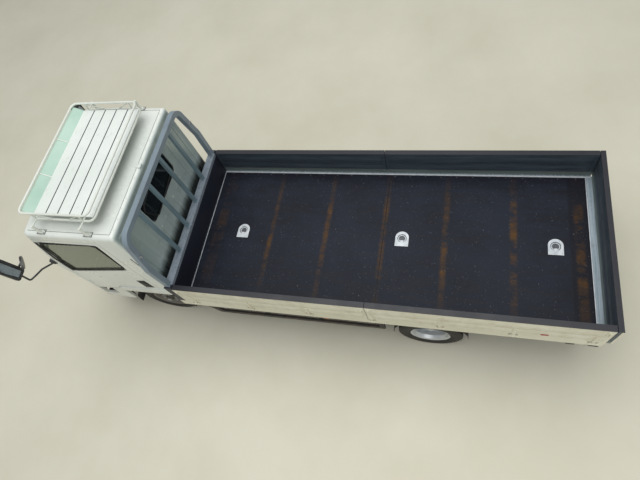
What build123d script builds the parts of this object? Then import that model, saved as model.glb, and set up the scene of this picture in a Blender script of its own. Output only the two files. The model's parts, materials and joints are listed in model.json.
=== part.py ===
from build123d import *
import math
import os

# Light cab-over truck with a drop-side bed. Millimetres, +Z up, front towards -Y, the truck's left side is +X.
# All pieces are drawn with y = 0 at the bed's front inner face, and moved by ORIGIN_Y as they are written.

# Bed
BED_LENGTH = 4350
BED_WIDTH = 1800
FLOOR_TOP = 895
FLOOR_THICK = 30
GATE_TOP = 1289
GATE_BOTTOM = 935
GATE_THICK = 60
GATE_GAP = 6
TAIL_GAP = 50
TAIL_THICK = 48
CROSS_SILL_HEIGHT = 80
CROSS_SILL_WIDTH = 60
CROSS_SILL_PITCH = 693
FIRST_CROSS_SILL = 136
SIDE_SILL_HEIGHT = 110
HINGE_R = 9
HINGE_OUT = 13
RUNNING = 0.1

# Headboard and guard frame over it
HEADBOARD_DEPTH = 90
HEADBOARD_TOP = 1297
RAIL_CAP = 45
GUARD_HALF = 930
GUARD_TUBE = 60
GUARD_KINK = 1700
GUARD_TOP_HALF = 838
GUARD_TOP = 2236
GUARD_BEND = 130
GUARD_BAR = 38
GUARD_BARS = (-510, -184, 154, 480)

# Cab
CAB_HALF = 847
CAB_ROOF_HALF = 832
CAB_BACK = -150
CAB_BOTTOM = 783
CAB_BELT = 1440
CAB_FRONT = -1625
CAB_FRONT_LOW = -1600
CAB_FRONT_ROOF = -1288
CAB_ROOF = 2245
CAB_WALL = 50
CAB_NOSE_R = 170
CAB_PILLAR_R = 60
CAB_TAIL_R = 40
CAB_BOW = 45
ROOF_SPLIT = CAB_ROOF - 85
DOOR_TOP = ROOF_SPLIT - 24
WINDOW_TOP = ROOF_SPLIT - 72
SCREEN_TOP = ROOF_SPLIT - 54
REAR_WINDOW_TOP = ROOF_SPLIT - 86
REAR_WINDOW_LOW = 1712
ROOF_EDGE_R = 45
DOOR_GAP = 7
LAMP_GAP = 0.3
GLASS = 6
GLASS_INSET = 10
FLOOR_FIT = 0.3

# Wheels
TYRE_R = 356
TYRE_WIDTH = 186
RIM_R = 220
RIM_SEAT_R = 203
RIM_WIDTH = 150
FRONT_AXLE_Y = -600
WHEELBASE = 3400
FRONT_TRACK = 1390
TWIN_PITCH = 206
REAR_TRACK = 1426
KINGPIN_X = 596
KINGPIN_R = 17
STUB_R = 28
SPINDLE_R = 32
STEER_CLEAR = 6

# Chassis
FRAME_HALF = 350
FRAME_TOP = 670
FRAME_HEIGHT = 180
FRAME_FLANGE = 55
FRAME_WALL = 7
FRAME_FRONT = -1560
FRAME_SHORT = 20
FRAME_REAR = BED_LENGTH - FRAME_SHORT
SPRING_X = 315
SPRING_WIDTH = 60
SPRING_LEAF = 11

# Cab tilt hinge
TILT_Y = -1590
TILT_Z = 760
TILT_PIN_R = 10
TILT_TOP = TILT_Z + TILT_PIN_R + 4

# Farthest points of the truck before and behind the bed's front inner face, which centre it on the origin
FRONT_REACH = 1740
REAR_REACH = 4470
ORIGIN_Y = -(REAR_REACH - FRONT_REACH) / 2

REAR_AXLE_Y = FRONT_AXLE_Y + WHEELBASE
BED_HALF = BED_WIDTH / 2
GATE_OUTER = BED_HALF + GATE_THICK
TAIL_INNER = BED_LENGTH + TAIL_GAP
TAIL_OUTER = TAIL_INNER + TAIL_THICK
FLOOR_UNDER = FLOOR_TOP - FLOOR_THICK
CROSS_SILL_LOW = FLOOR_UNDER - CROSS_SILL_HEIGHT
FRAME_LOW = FRAME_TOP - FRAME_HEIGHT
DOOR_INNER = CAB_ROOF_HALF - CAB_WALL - 30


def block(x0, x1, y0, y1, z0, z1):
    """A box between two corners."""
    return Pos((x0 + x1) / 2, (y0 + y1) / 2, (z0 + z1) / 2) * Box(x1 - x0, y1 - y0, z1 - z0)


def outline(points, radius=0):
    """A closed face from corner points, with all its corners rounded."""
    face = make_face(Polyline(*points, close=True))
    return fillet(face.vertices(), radius) if radius else face


def along_x(face, x0, x1):
    """Extrudes a face drawn in (y, z) from x0 to x1."""
    return Pos(x0, 0, 0) * extrude(Plane.YZ * face, x1 - x0, dir=(1, 0, 0))


def along_y(face, y0, y1):
    """Extrudes a face drawn in (x, z) from y0 to y1."""
    return Pos(0, y0, 0) * extrude(Plane.XZ * face, y1 - y0, dir=(0, 1, 0))


def along_z(face, z0, z1):
    """Extrudes a face drawn in (x, y) from z0 to z1."""
    return Pos(0, 0, z0) * extrude(Plane.XY * face, z1 - z0, dir=(0, 0, 1))


def rod_x(x0, x1, y, z, radius):
    return Pos((x0 + x1) / 2, y, z) * Rot(0, 90, 0) * Cylinder(radius, x1 - x0)


def rod_y(x, y0, y1, z, radius):
    return Pos(x, (y0 + y1) / 2, z) * Rot(90, 0, 0) * Cylinder(radius, y1 - y0)


def rod_z(x, y, z0, z1, radius):
    return Pos(x, y, (z0 + z1) / 2) * Cylinder(radius, z1 - z0)


def tube_path(points, bend, section):
    """A section swept along straight runs joined by tangent arcs."""
    path = FilletPolyline(*points, radius=bend)
    start = Plane(origin=path @ 0, z_dir=path % 0)
    return sweep(start * section, path=path)


def other_side(shape):
    return mirror(shape, about=Plane.YZ)


def both(shape):
    """The shape and its mirror image on the truck's other side."""
    return [shape, other_side(shape)]


# Cab body

def cab_section(z, front, half, nose, inset):
    """The cab's outline at one height: bowed front, straight sides, rounded corners."""
    front, back, half = front + inset, CAB_BACK - inset, half - inset
    nose = max(nose - inset, 12)
    tail = max(CAB_TAIL_R - inset, 5)
    corner = front + CAB_BOW
    line = [
        ThreePointArc((-half, corner), (0, front), (half, corner)),
        Line((half, corner), (half, back)),
        Line((half, back), (-half, back)),
        Line((-half, back), (-half, corner)),
    ]
    face = make_face(line)
    ahead = face.vertices().sort_by(Axis.Y)
    face = fillet(ahead[:2], nose)
    behind = face.vertices().sort_by(Axis.Y)
    face = fillet(behind[-2:], tail)
    return Pos(0, 0, z) * face


def cab_form(inset=0, lower=CAB_BOTTOM):
    """The closed outer form of the cab, moved in by an inset on every wall and the roof."""
    low = cab_section(lower, CAB_FRONT_LOW, CAB_HALF - 5, CAB_NOSE_R, inset)
    belt = cab_section(CAB_BELT, CAB_FRONT, CAB_HALF, CAB_NOSE_R, inset)
    top = cab_section(CAB_ROOF - inset, CAB_FRONT_ROOF, CAB_ROOF_HALF, CAB_PILLAR_R, inset)
    form = loft([low, belt], ruled=True) + loft([belt, top], ruled=True)
    edge = form.faces().sort_by(Axis.Z)[-1].edges()
    return fillet(edge, max(ROOF_EDGE_R - inset, 8))


def door_outline(grow=0):
    """The door's outline in (y, z), grown on every side for its opening."""
    points = [
        (-1372, 808),
        (-1384, 1300),
        (-1350, 1680),
        (-1246, DOOR_TOP),
        (-402, DOOR_TOP),
        (-405, 903),
        (-985, 903),
        (-1075, 808),
    ]
    face = outline(points)
    face = fillet(face.vertices().filter_by(lambda v: v.Y > DOOR_TOP - 1), 40)
    return offset(face, amount=grow) if grow else face


def door_window():
    points = [(-1322, 1322), (-1300, 1680), (-1206, WINDOW_TOP), (-447, WINDOW_TOP), (-484, 1478)]
    return outline(points, 28)


def export(name, shape):
    """Writes one node; a list of solids shares the node."""
    if isinstance(shape, (list, tuple)):
        shape = Compound(children=list(shape))
    shape = shape.moved(Location((0, ORIGIN_Y, 0)))
    export_step(shape, f"parts/{name}.step")


def windscreen_outline():
    return outline([(-722, 1462), (722, 1462), (676, SCREEN_TOP), (-676, SCREEN_TOP)], 70)


def rear_window_outline():
    low, high = REAR_WINDOW_LOW, REAR_WINDOW_TOP
    return outline([(-365, low), (365, low), (365, high), (-365, high)], 70)


def headlamp_outline():
    return outline([(515, 842), (772, 862), (790, 1010), (540, 985)], 24)


def grille_outline():
    return outline([(-470, 852), (470, 852), (490, 966), (-490, 966)], 18)


OUTER = cab_form()
INNER = cab_form(CAB_WALL, CAB_BOTTOM - 1)
SKIN = OUTER - INNER


def flare():
    """The moulded lip over a front wheel, on the cab's left side."""
    lip = outline([(-1070, CAB_BOTTOM), (-1025, 850), (-955, 893), (CAB_BACK, 893), (CAB_BACK, CAB_BOTTOM)])
    return along_x(lip, CAB_HALF - 12, CAB_HALF + 12)


# Door hinges, left side: knuckles about one upright line on the skin, two to a door
DOOR_HINGE_X = CAB_HALF - 2
DOOR_HINGE_Y = -1378
DOOR_HINGE_HEIGHTS = (960, 1250)
DOOR_HINGE_R = 9
DOOR_PIN_R = 4
DOOR_KNUCKLE_HALF = 20
DOOR_KNUCKLE_GAP = 3
PILLAR_KNUCKLE = 20
DOOR_HINGE_CLEAR = 5


def hinge_rod(z0, z1, radius):
    return rod_z(DOOR_HINGE_X, DOOR_HINGE_Y, z0, z1, radius)


def door_hinge_room(z):
    """What a hinge takes out of the door, so that it clears the pillar's knuckles."""
    reach = DOOR_KNUCKLE_HALF + DOOR_KNUCKLE_GAP + PILLAR_KNUCKLE + DOOR_HINGE_CLEAR
    x, y = DOOR_HINGE_X, DOOR_HINGE_Y
    corner = block(x - 26, x + 10, y - 12, y + 2, z - reach, z + reach)
    return hinge_rod(z - reach, z + reach, DOOR_HINGE_R + DOOR_HINGE_CLEAR) + corner


def door_knuckle(z):
    """The door's knuckle with its leaf."""
    half = DOOR_KNUCKLE_HALF
    x, y = DOOR_HINGE_X, DOOR_HINGE_Y
    return hinge_rod(z - half, z + half, DOOR_HINGE_R) + block(x - 20, x, y, y + 22, z - half, z + half)


def pillar_knuckles(z):
    """The pillar's two knuckles with their leaves, and the pin through all three."""
    x, y = DOOR_HINGE_X, DOOR_HINGE_Y
    near = DOOR_KNUCKLE_HALF + DOOR_KNUCKLE_GAP
    far = near + PILLAR_KNUCKLE
    piece = hinge_rod(z - far, z + far, DOOR_PIN_R)
    for low, high in ((z - far, z - near), (z + near, z + far)):
        piece += hinge_rod(low, high, DOOR_HINGE_R) + block(x - 20, x, y - 24, y - 3, low, high)
    return piece


BACK_RIB_DEPTH = 7
# x, low z and high z of the back panel's upright pressings, right half
BACK_RIBS = [
    (-740, 1000, ROOF_SPLIT - 80),
    (-620, 1000, ROOF_SPLIT - 80),
    (-500, 1000, ROOF_SPLIT - 80),
    (-330, 1000, REAR_WINDOW_LOW - 110),
    (-200, 1000, REAR_WINDOW_LOW - 110),
    (-70, 1000, REAR_WINDOW_LOW - 110),
]


def cab_shell():
    """Pillars, back wall, sills and front panel; one half is cut and then mirrored."""
    half = SKIN & block(-1000, 0, -2000, 0, 0, ROOF_SPLIT)
    half -= other_side(along_x(door_outline(DOOR_GAP), DOOR_INNER, 1000))
    half -= along_y(windscreen_outline(), -1800, -1100)
    half -= along_y(rear_window_outline(), -300, 0)
    half -= other_side(along_y(headlamp_outline(), -1800, -1300))
    half -= along_y(grille_outline(), -1800, -1300)
    half += other_side(flare())
    for z in DOOR_HINGE_HEIGHTS:
        reach = DOOR_KNUCKLE_HALF + DOOR_KNUCKLE_GAP
        half -= other_side(hinge_rod(z - reach, z + reach, DOOR_HINGE_R + DOOR_HINGE_CLEAR))
        half += other_side(pillar_knuckles(z))
    half -= block(-CAB_HALF - 2, -CAB_HALF + 14, -232, -214, 1640, 1820)
    for x, low, high in BACK_RIBS:
        rib = outline([(x - 26, low), (x + 26, low), (x + 26, high), (x - 26, high)], 24)
        half += along_y(rib, CAB_BACK - 1, CAB_BACK + BACK_RIB_DEPTH)
    return half + other_side(half)


def cab_roof():
    roof = SKIN & block(-1000, 1000, -2000, 0, ROOF_SPLIT, 3000)
    roof -= along_y(windscreen_outline(), -1800, -1100)
    return roof


def cab_floor():
    """Foot well, riser and raised seat deck over the engine, as one pressed sheet."""
    sheet = outline([
        (-1700, 800), (-1015, 800), (-1015, 1010), (0, 1010),
        (0, 1040), (-1045, 1040), (-1045, 830), (-1700, 830),
    ])
    return along_x(sheet, -1000, 1000) & cab_form(CAB_WALL + FLOOR_FIT)


def door():
    """The left door: the whole thickness of the side, with its window cut and a pull handle."""
    body = SKIN & along_x(door_outline(), DOOR_INNER, 1000)
    body -= along_x(door_window(), DOOR_INNER, 1000)
    pull = outline([(-575, 1050), (-462, 1062), (-462, 1098), (-560, 1090)])
    body -= along_x(pull, CAB_HALF - 14, CAB_HALF + 5)
    for z in DOOR_HINGE_HEIGHTS:
        body = body - door_hinge_room(z) + door_knuckle(z)
        body -= hinge_rod(z - DOOR_KNUCKLE_HALF - 1, z + DOOR_KNUCKLE_HALF + 1, DOOR_PIN_R + RUNNING)
    return body


def door_glass():
    pane = cab_form(GLASS_INSET, CAB_BOTTOM + 20) - cab_form(GLASS_INSET + GLASS, CAB_BOTTOM)
    return pane & along_x(door_window(), DOOR_INNER, 1000)


def front_glass():
    pane = cab_form(GLASS_INSET, CAB_BOTTOM + 20) - cab_form(GLASS_INSET + GLASS, CAB_BOTTOM)
    return pane & along_y(windscreen_outline(), -1800, -1100)


def rear_glass():
    front = CAB_BACK - GLASS_INSET
    return along_y(rear_window_outline(), front - GLASS, front)


def headlamp():
    lens = cab_form(3, CAB_BOTTOM + 20) - cab_form(CAB_WALL, CAB_BOTTOM)
    return lens & along_y(offset(headlamp_outline(), amount=-LAMP_GAP), -1800, -1300)


def grille():
    """Three bars in a closed frame."""
    frame = cab_form(4, CAB_BOTTOM + 20) - cab_form(CAB_WALL, CAB_BOTTOM)
    frame = frame & along_y(offset(grille_outline(), amount=-LAMP_GAP), -1800, -1300)
    for z in (868, 893, 918, 943):
        frame -= block(-455, 455, -1800, -1300, z - 7, z + 7)
    return frame


# Mirrors

MIRROR_X = 1070
MIRROR_Y = -1700
MIRROR_LOW = 1650
MIRROR_HIGH = 2010
MIRROR_WIDTH = 150
MIRROR_LEAN = 5
STAY_R = 11


def mirror_head():
    """A tall rounded mirror housing on the left, its glass face towards the back, leaning out at the top."""
    half, tall = MIRROR_WIDTH / 2, MIRROR_HIGH - MIRROR_LOW
    shell = outline([(-half, 0), (half, 0), (half, tall), (-half, tall)], 32)
    head = along_y(shell, -40, 20)
    head = fillet(head.faces().sort_by(Axis.Y)[0].edges(), 26)
    return Pos(MIRROR_X, MIRROR_Y, MIRROR_LOW) * Rot(0, MIRROR_LEAN, 0) * head


def mirror_stay():
    """The bent tube from the right front pillar to the mirror, with its foot shaped to the pillar."""
    points = [
        (-CAB_HALF + 30, -1425, 1562), (-CAB_HALF - 20, -1455, 1556), (-925, -1615, 1502),
        (-1005, -1705, 1468), (-MIRROR_X, -1725, 1486), (-MIRROR_X, -1712, MIRROR_LOW + 15),
    ]
    stay = tube_path(points, 30, Circle(STAY_R))
    stay += block(-CAB_HALF - 8, -CAB_HALF + 30, -1470, -1405, 1530, 1595)
    return stay - OUTER


def under_mirror():
    """The small oval mirror inboard of the right housing, on its arm."""
    oval = scale(Cylinder(70, 22), (1.3, 0.7, 1))
    dish = Pos(-950, MIRROR_Y + 28, 1736) * Rot(0, 0, -39) * Rot(70, 0, 0) * oval
    return dish + block(-1015, -960, MIRROR_Y + 2, MIRROR_Y + 20, 1728, 1744)


def mirror_arm():
    """One whole mirror on the truck's right side."""
    return other_side(mirror_head()) + mirror_stay() + under_mirror()


# Roof rack

RACK_RISE = 146
RING_RISE = 73
RACK_DECK = CAB_ROOF + RACK_RISE
RACK_RING = RACK_DECK + RING_RISE
RACK_HALF = 700
RACK_REAR = -327
RACK_FRONT = -1157
SLAT_HALF = 665
SLAT_PITCH = 144
SLAT_GAP = 9
FIRST_SLAT = -1041
SLATS = 5
RACK_TUBE_R = 12
RUNNER_R = 10
CROSS_R = 9
UPRIGHT_R = 8
FOOT_R = 13
SLAT_THICK = 12
RACK_FEET = (-1011, -443)
RACK_FOOT_X = 795


def ring(half, front, rear, z, bend, radius):
    """A closed tube ring with rounded corners."""
    path = outline([(-half, front), (half, front), (half, rear), (-half, rear)], bend).face().outer_wire()
    start = Plane(origin=path @ 0, z_dir=path % 0)
    return Pos(0, 0, z) * sweep(start * Circle(radius), path=path)


def roof_rack():
    """Two tube rings, uprights between them, and four feet on the roof."""
    rack = ring(RACK_HALF, RACK_FRONT, RACK_REAR, RACK_RING, 60, RACK_TUBE_R)
    runner_z = RACK_DECK - SLAT_THICK - RUNNER_R
    lower = runner_z - 4
    cross_z = runner_z - 3
    rack += ring(RACK_HALF, FIRST_SLAT - 15, RACK_REAR, lower, 60, RACK_TUBE_R)
    for x in (-400, 400):
        rack += rod_y(x, FIRST_SLAT - 15, RACK_REAR, runner_z, RUNNER_R)
    for y in RACK_FEET:
        rack += rod_x(-RACK_FOOT_X, RACK_FOOT_X, y, cross_z, CROSS_R)
        for side in (-1, 1):
            rack += rod_z(side * RACK_HALF, y, lower, RACK_RING, UPRIGHT_R)
            x = side * RACK_FOOT_X
            rack += rod_z(x, y, CAB_ROOF, cross_z + CROSS_R + 4, FOOT_R)
            rack += block(x - 30, x + 14, y - 45, y + 45, CAB_ROOF, CAB_ROOF + 6)
    return rack


def rack_slats():
    """The deck's boards and the sloping plate ahead of them."""
    slats = []
    for n in range(SLATS):
        y = FIRST_SLAT + n * SLAT_PITCH
        slats.append(block(-SLAT_HALF, SLAT_HALF, y, y + SLAT_PITCH - SLAT_GAP, RACK_DECK - SLAT_THICK, RACK_DECK))
    edge, high = RACK_FRONT + RACK_TUBE_R, RACK_RING - RACK_TUBE_R - 2
    sheet = outline([(FIRST_SLAT, RACK_DECK - 8), (edge, high - 4), (edge - 3, high), (FIRST_SLAT, RACK_DECK)])
    slats.append(along_x(sheet, -SLAT_HALF, SLAT_HALF))
    return slats


# Cab inside

COLUMN_R = 26


def dashboard():
    profile = outline([(-1540, 1120), (-1265, 1150), (-1235, 1300), (-1300, 1405), (-1530, 1425)], 25)
    dash = along_x(profile, -780, 780) & cab_form(CAB_WALL + FLOOR_FIT)
    return dash - steering_place() * Pos(0, 0, -160) * Cylinder(COLUMN_R + FLOOR_FIT, 300)


def steering_place():
    """Where the steering wheel's hub stands and how it leans."""
    return Pos(-390, -1150, 1390) * Rot(-32, 0, 0)


def steering_wheel():
    hoop = Torus(190, 13)
    boss = Pos(0, 0, -20) * Cylinder(38, 50)
    wheel = hoop + boss
    for turn in (90, 210, 330):
        wheel += Rot(0, 0, turn) * Pos(105, 0, -10) * Box(170, 30, 12)
    column = Pos(0, 0, -160) * Cylinder(COLUMN_R, 260)
    return steering_place() * (wheel + column)


def seat(x0, x1):
    """A seat cushion and its back."""
    cushion = fillet(block(x0, x1, -860, -370, 1040, 1190).edges().filter_by(Axis.Z, reverse=True), 30)
    back_profile = outline([(-437, 1190.3), (-335, 1190.3), (-225, 1780), (-300, 1800)], 25)
    return [cushion, along_x(back_profile, x0, x1)]


# Bed

# Lashing plates, flush in the floor on its middle line: the y of each, and the arched outline
LASHING_PLACES = (477, 2432, 4019)
PLATE_HALF = 75
PLATE_FLAT_X = 70
PLATE_ARCH_X = -40
PLATE_DEPTH = 18
PLATE_FIT = 0.3
DISH_R = 52
DISH_DEPTH = 14
RING_R = 40
RING_ROD_R = 6
RING_SINK = 1.5


def plate_form(y, high, grow=0):
    """An arched plate's block, from its seat in the floor up to a height."""
    low = FLOOR_TOP - PLATE_DEPTH - grow
    half = PLATE_HALF + grow
    flat = block(PLATE_ARCH_X, PLATE_FLAT_X + grow, y - half, y + half, low, high)
    return flat + rod_z(PLATE_ARCH_X, y, low, high, half)


def lashing_rings():
    """Each plate with a ring lying in its round dish."""
    plates = []
    for y in LASHING_PLACES:
        x = PLATE_ARCH_X + 10
        plate = plate_form(y, FLOOR_TOP) - rod_z(x, y, FLOOR_TOP - DISH_DEPTH, FLOOR_TOP + 1, DISH_R)
        plate += Pos(x, y, FLOOR_TOP - DISH_DEPTH + RING_ROD_R - RING_SINK) * Torus(RING_R, RING_ROD_R)
        low = FLOOR_TOP - DISH_DEPTH - 1
        clip = block(x + RING_R - 14, x + DISH_R + 3, y - 16, y + 16, low, FLOOR_TOP - 0.5)
        plates.append(plate + clip)
    return plates


def bed_floor():
    """The floor sheet, with a pocket for each lashing plate."""
    floor = block(-BED_HALF, BED_HALF, 0, BED_LENGTH, FLOOR_UNDER, FLOOR_TOP)
    for y in LASHING_PLACES:
        floor -= plate_form(y, FLOOR_TOP + 1, PLATE_FIT)
    return floor


def cross_sill_places():
    room = BED_LENGTH - CROSS_SILL_WIDTH / 2 - FIRST_CROSS_SILL
    count = int(room // CROSS_SILL_PITCH) + 1
    return [FIRST_CROSS_SILL + n * CROSS_SILL_PITCH for n in range(count)]


def bed_sills():
    """Two long sills on the frame and cross sills between them and the floor."""
    sills = []
    for x in (-FRAME_HALF, FRAME_HALF - FRAME_FLANGE):
        sills.append(block(x, x + FRAME_FLANGE, 0, BED_LENGTH, FRAME_TOP, CROSS_SILL_LOW))
    for y in cross_sill_places():
        half = CROSS_SILL_WIDTH / 2
        sills.append(block(-BED_HALF, BED_HALF, y - half, y + half, CROSS_SILL_LOW, FLOOR_UNDER))
    return sills


GATE_AXIS_X = GATE_OUTER + HINGE_OUT
GATE_AXIS_Z = GATE_BOTTOM - 20
TAIL_AXIS_Y = TAIL_OUTER + HINGE_OUT
HINGE_PIN_R = 4
HINGE_HALF = 18
HINGE_SIDE_GAP = 5
HINGE_STRAP = 160


def strap(y):
    """The gate's half of a hinge: a strap up the outer face and the knuckle at its foot."""
    x0 = GATE_OUTER
    plate = block(x0, x0 + 7, y - HINGE_HALF, y + HINGE_HALF, GATE_AXIS_Z, GATE_BOTTOM + HINGE_STRAP)
    knuckle_body = rod_y(GATE_AXIS_X, y - HINGE_HALF, y + HINGE_HALF, GATE_AXIS_Z, HINGE_R)
    return plate + knuckle_body - rod_y(GATE_AXIS_X, y - 50, y + 50, GATE_AXIS_Z, HINGE_PIN_R + RUNNING)


def hinge_lugs(y):
    """The rail's half of a hinge: a lug on each side of the strap and the pin through both."""
    reach = HINGE_HALF + HINGE_SIDE_GAP
    lugs = rod_y(GATE_AXIS_X, y - reach - 16, y + reach + 16, GATE_AXIS_Z, HINGE_PIN_R)
    for y0 in (y - reach - 16, y + reach):
        lugs += rod_y(GATE_AXIS_X, y0, y0 + 16, GATE_AXIS_Z, HINGE_R)
        lugs += block(GATE_OUTER - 8, GATE_AXIS_X, y0, y0 + 16, GATE_AXIS_Z - 30, GATE_AXIS_Z + 4)
    return lugs


def gate_hinge_places(y0, y1):
    """Three of a gate's hinges, each over a cross sill."""
    return [y for y in cross_sill_places() if y0 < y < y1]


def gate(y0, y1):
    """A left drop side: an outer skin with thick rails at top and foot, and straps down to its hinges."""
    panel = block(BED_HALF, GATE_OUTER, y0, y1, GATE_BOTTOM, GATE_TOP)
    for z0, z1 in ((GATE_BOTTOM + 36, GATE_BOTTOM + 150), (GATE_BOTTOM + 176, GATE_TOP - 46)):
        panel -= block(GATE_OUTER - 14, GATE_OUTER + 1, y0 + 40, y1 - 40, z0, z1)
        panel -= block(BED_HALF - 1, BED_HALF + 12, y0 + 40, y1 - 40, z0, z1)
    for y in gate_hinge_places(y0, y1):
        panel += block(GATE_OUTER - 14, GATE_OUTER, y - 24, y + 24, GATE_BOTTOM + 30, GATE_BOTTOM + HINGE_STRAP)
        panel += strap(y)
    return panel


def turned_to_tail(shape, x):
    """A hinge piece drawn for the left gates, turned to the tailgate."""
    return Pos(x, TAIL_AXIS_Y - GATE_AXIS_X, 0) * Rot(0, 0, 90) * shape


TAIL_HINGES = (-720, -240, 240, 720)


def side_rail():
    """The left edge of the bed under its gates: a sill with a sloped top and the hinge lugs."""
    profile = outline([
        (BED_HALF, FLOOR_TOP - SIDE_SILL_HEIGHT), (GATE_OUTER - 8, FLOOR_TOP - SIDE_SILL_HEIGHT),
        (GATE_OUTER - 8, FLOOR_TOP + 20), (BED_HALF, FLOOR_TOP + 8),
    ])
    rail = along_y(profile, -HEADBOARD_DEPTH, TAIL_INNER)
    for y in cross_sill_places():
        rail += hinge_lugs(y)
    return rail


def rear_rail():
    """The sill under the tailgate, with its hinge lugs."""
    low = FLOOR_TOP - SIDE_SILL_HEIGHT
    rail = block(-BED_HALF, BED_HALF, BED_LENGTH, TAIL_OUTER - 8, low, FLOOR_TOP + 10)
    for x in TAIL_HINGES:
        rail += turned_to_tail(hinge_lugs(0), x)
    return rail


def headboard():
    """The bed's front wall, with corner posts that the side gates close against."""
    wall = block(-BED_HALF, BED_HALF, -HEADBOARD_DEPTH, 0, FLOOR_TOP, HEADBOARD_TOP - RAIL_CAP)
    posts = both(block(BED_HALF, GATE_OUTER - 8, -HEADBOARD_DEPTH, 0, FLOOR_TOP + 20, HEADBOARD_TOP))
    return wall + posts[0] + posts[1]


def headboard_rail():
    return block(-BED_HALF, BED_HALF, -HEADBOARD_DEPTH, 0, HEADBOARD_TOP - RAIL_CAP, HEADBOARD_TOP)


def guard_frame():
    """The bent square tube that stands over the headboard."""
    y = -GUARD_TUBE / 2 - 22
    half = GUARD_TUBE / 2
    foot = HEADBOARD_TOP
    points = [
        (GUARD_HALF - half, y, foot), (GUARD_HALF - half, y, GUARD_KINK),
        (GUARD_TOP_HALF - half, y, GUARD_TOP - half), (-GUARD_TOP_HALF + half, y, GUARD_TOP - half),
        (-GUARD_HALF + half, y, GUARD_KINK), (-GUARD_HALF + half, y, foot),
    ]
    return tube_path(points, GUARD_BEND, Rectangle(GUARD_TUBE, GUARD_TUBE))


def guard_bars():
    half = GUARD_BAR / 2
    y = -22 - half
    low, high = HEADBOARD_TOP, GUARD_TOP - GUARD_TUBE
    return [block(x - half, x + half, y - half, y + half, low, high) for x in GUARD_BARS]


def tailgate():
    """The tail board, with rails at top and foot and straps to its hinges."""
    panel = block(-GATE_OUTER, GATE_OUTER, TAIL_INNER, TAIL_OUTER, GATE_BOTTOM, GATE_TOP)
    for z0, z1 in ((GATE_BOTTOM + 36, GATE_BOTTOM + 150), (GATE_BOTTOM + 176, GATE_TOP - 46)):
        panel -= block(-GATE_OUTER + 60, GATE_OUTER - 60, TAIL_OUTER - 12, TAIL_OUTER + 1, z0, z1)
        panel -= block(-GATE_OUTER + 60, GATE_OUTER - 60, TAIL_INNER - 1, TAIL_INNER + 10, z0, z1)
    for x in TAIL_HINGES:
        panel += block(x - 24, x + 24, TAIL_OUTER - 12, TAIL_OUTER, GATE_BOTTOM + 30, GATE_BOTTOM + HINGE_STRAP)
        panel += turned_to_tail(strap(0), x)
    return panel


# Chassis

def frame_rail():
    """The left rail, a channel open towards the middle."""
    x0, x1 = FRAME_HALF - FRAME_FLANGE, FRAME_HALF
    profile = outline([
        (x0, FRAME_LOW), (x1, FRAME_LOW), (x1, FRAME_TOP), (x0, FRAME_TOP),
        (x0, FRAME_TOP - FRAME_WALL), (x1 - FRAME_WALL, FRAME_TOP - FRAME_WALL),
        (x1 - FRAME_WALL, FRAME_LOW + FRAME_WALL), (x0, FRAME_LOW + FRAME_WALL),
    ])
    return along_y(profile, FRAME_FRONT, FRAME_REAR)


SPARE_Y = 3760
SPARE_Z = 388

# y, low z, high z of each cross member between the rails' webs
CROSSMEMBERS = [
    (-1500, 510, 650),
    (-60, 495, 520),
    (620, 605, 665),
    (1500, 605, 665),
    (2250, 560, 665),
    (3350, 510, 650),
    (SPARE_Y, 605, 665),
    (4270, 510, 650),
]


def crossmembers():
    inner = FRAME_HALF - FRAME_WALL
    return [block(-inner, inner, y - 30, y + 30, low, high) for y, low, high in CROSSMEMBERS]


TILT_LUG_X = 322
TILT_LUG_HALF = 20


def tilt_brackets():
    """The frame's two plates and pin on each side that carry the cab's front."""
    side = [
        (-1640, 600), (-1490, 600), (-1540, 762), (-1572, TILT_TOP), (-1604, TILT_TOP), (-1640, 740),
    ]
    plates = rod_x(FRAME_HALF - 70, FRAME_HALF + 12, TILT_Y, TILT_Z, TILT_PIN_R)
    for x0 in (FRAME_HALF - FRAME_FLANGE - 11, FRAME_HALF):
        plates += along_x(outline(side), x0, x0 + 11) & bumper_form(BUMPER_WALL, 590, CAB_BOTTOM)
    return both(plates)


def tilt_lugs():
    """The cab's two arms that turn on the frame's pins."""
    head_r = TILT_PIN_R + 8
    x0, x1 = TILT_LUG_X - TILT_LUG_HALF, TILT_LUG_X + TILT_LUG_HALF
    side = [
        (TILT_Y, TILT_Z - head_r + 1), (-1420, 772), (-1400, 800), (-1530, 800), (-1530, TILT_Z + head_r - 1),
        (TILT_Y, TILT_Z + head_r - 1),
    ]
    arm = along_x(outline(side), x0, x1) + rod_x(x0, x1, TILT_Y, TILT_Z, head_r)
    arm -= rod_x(TILT_LUG_X - 50, TILT_LUG_X + 50, TILT_Y, TILT_Z, TILT_PIN_R + RUNNING)
    return both(arm)


def cab_support():
    """The hoop on the frame that the cab's back comes down on."""
    hoop = block(-FRAME_HALF, FRAME_HALF, -215, -165, 745, CAB_BOTTOM - 5)
    for x0 in (-FRAME_HALF, FRAME_HALF - FRAME_FLANGE):
        hoop += block(x0, x0 + FRAME_FLANGE, -215, -165, FRAME_TOP, 745)
    return hoop


def engine():
    """The engine as one plain block under the seats."""
    return block(-270, 270, -960, -250, 480, 985)


def driveline():
    """Gearbox behind the engine and the shaft to the rear axle."""
    box = block(-140, 140, -250, 150, 525, 730)
    nose = REAR_AXLE_Y - NOSE_REACH
    shaft = tube_path([(0, 100, 605), (0, 1200, 492), (0, nose + 60, AXLE_Z)], 200, Circle(38))
    shaft = shaft & block(-100, 100, 150 + LAMP_GAP, nose - LAMP_GAP, 0, 1000)
    return [box, shaft]


EXHAUST_Z = 470


def exhaust():
    """Silencer between the rails with its pipe from the engine and its tail."""
    can = rod_y(-180, 850, 1650, EXHAUST_Z, 88)
    can += rod_y(-180, -250, 850, EXHAUST_Z, 24)
    return can + rod_y(-180, 1650, 2450, EXHAUST_Z, 24)


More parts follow.
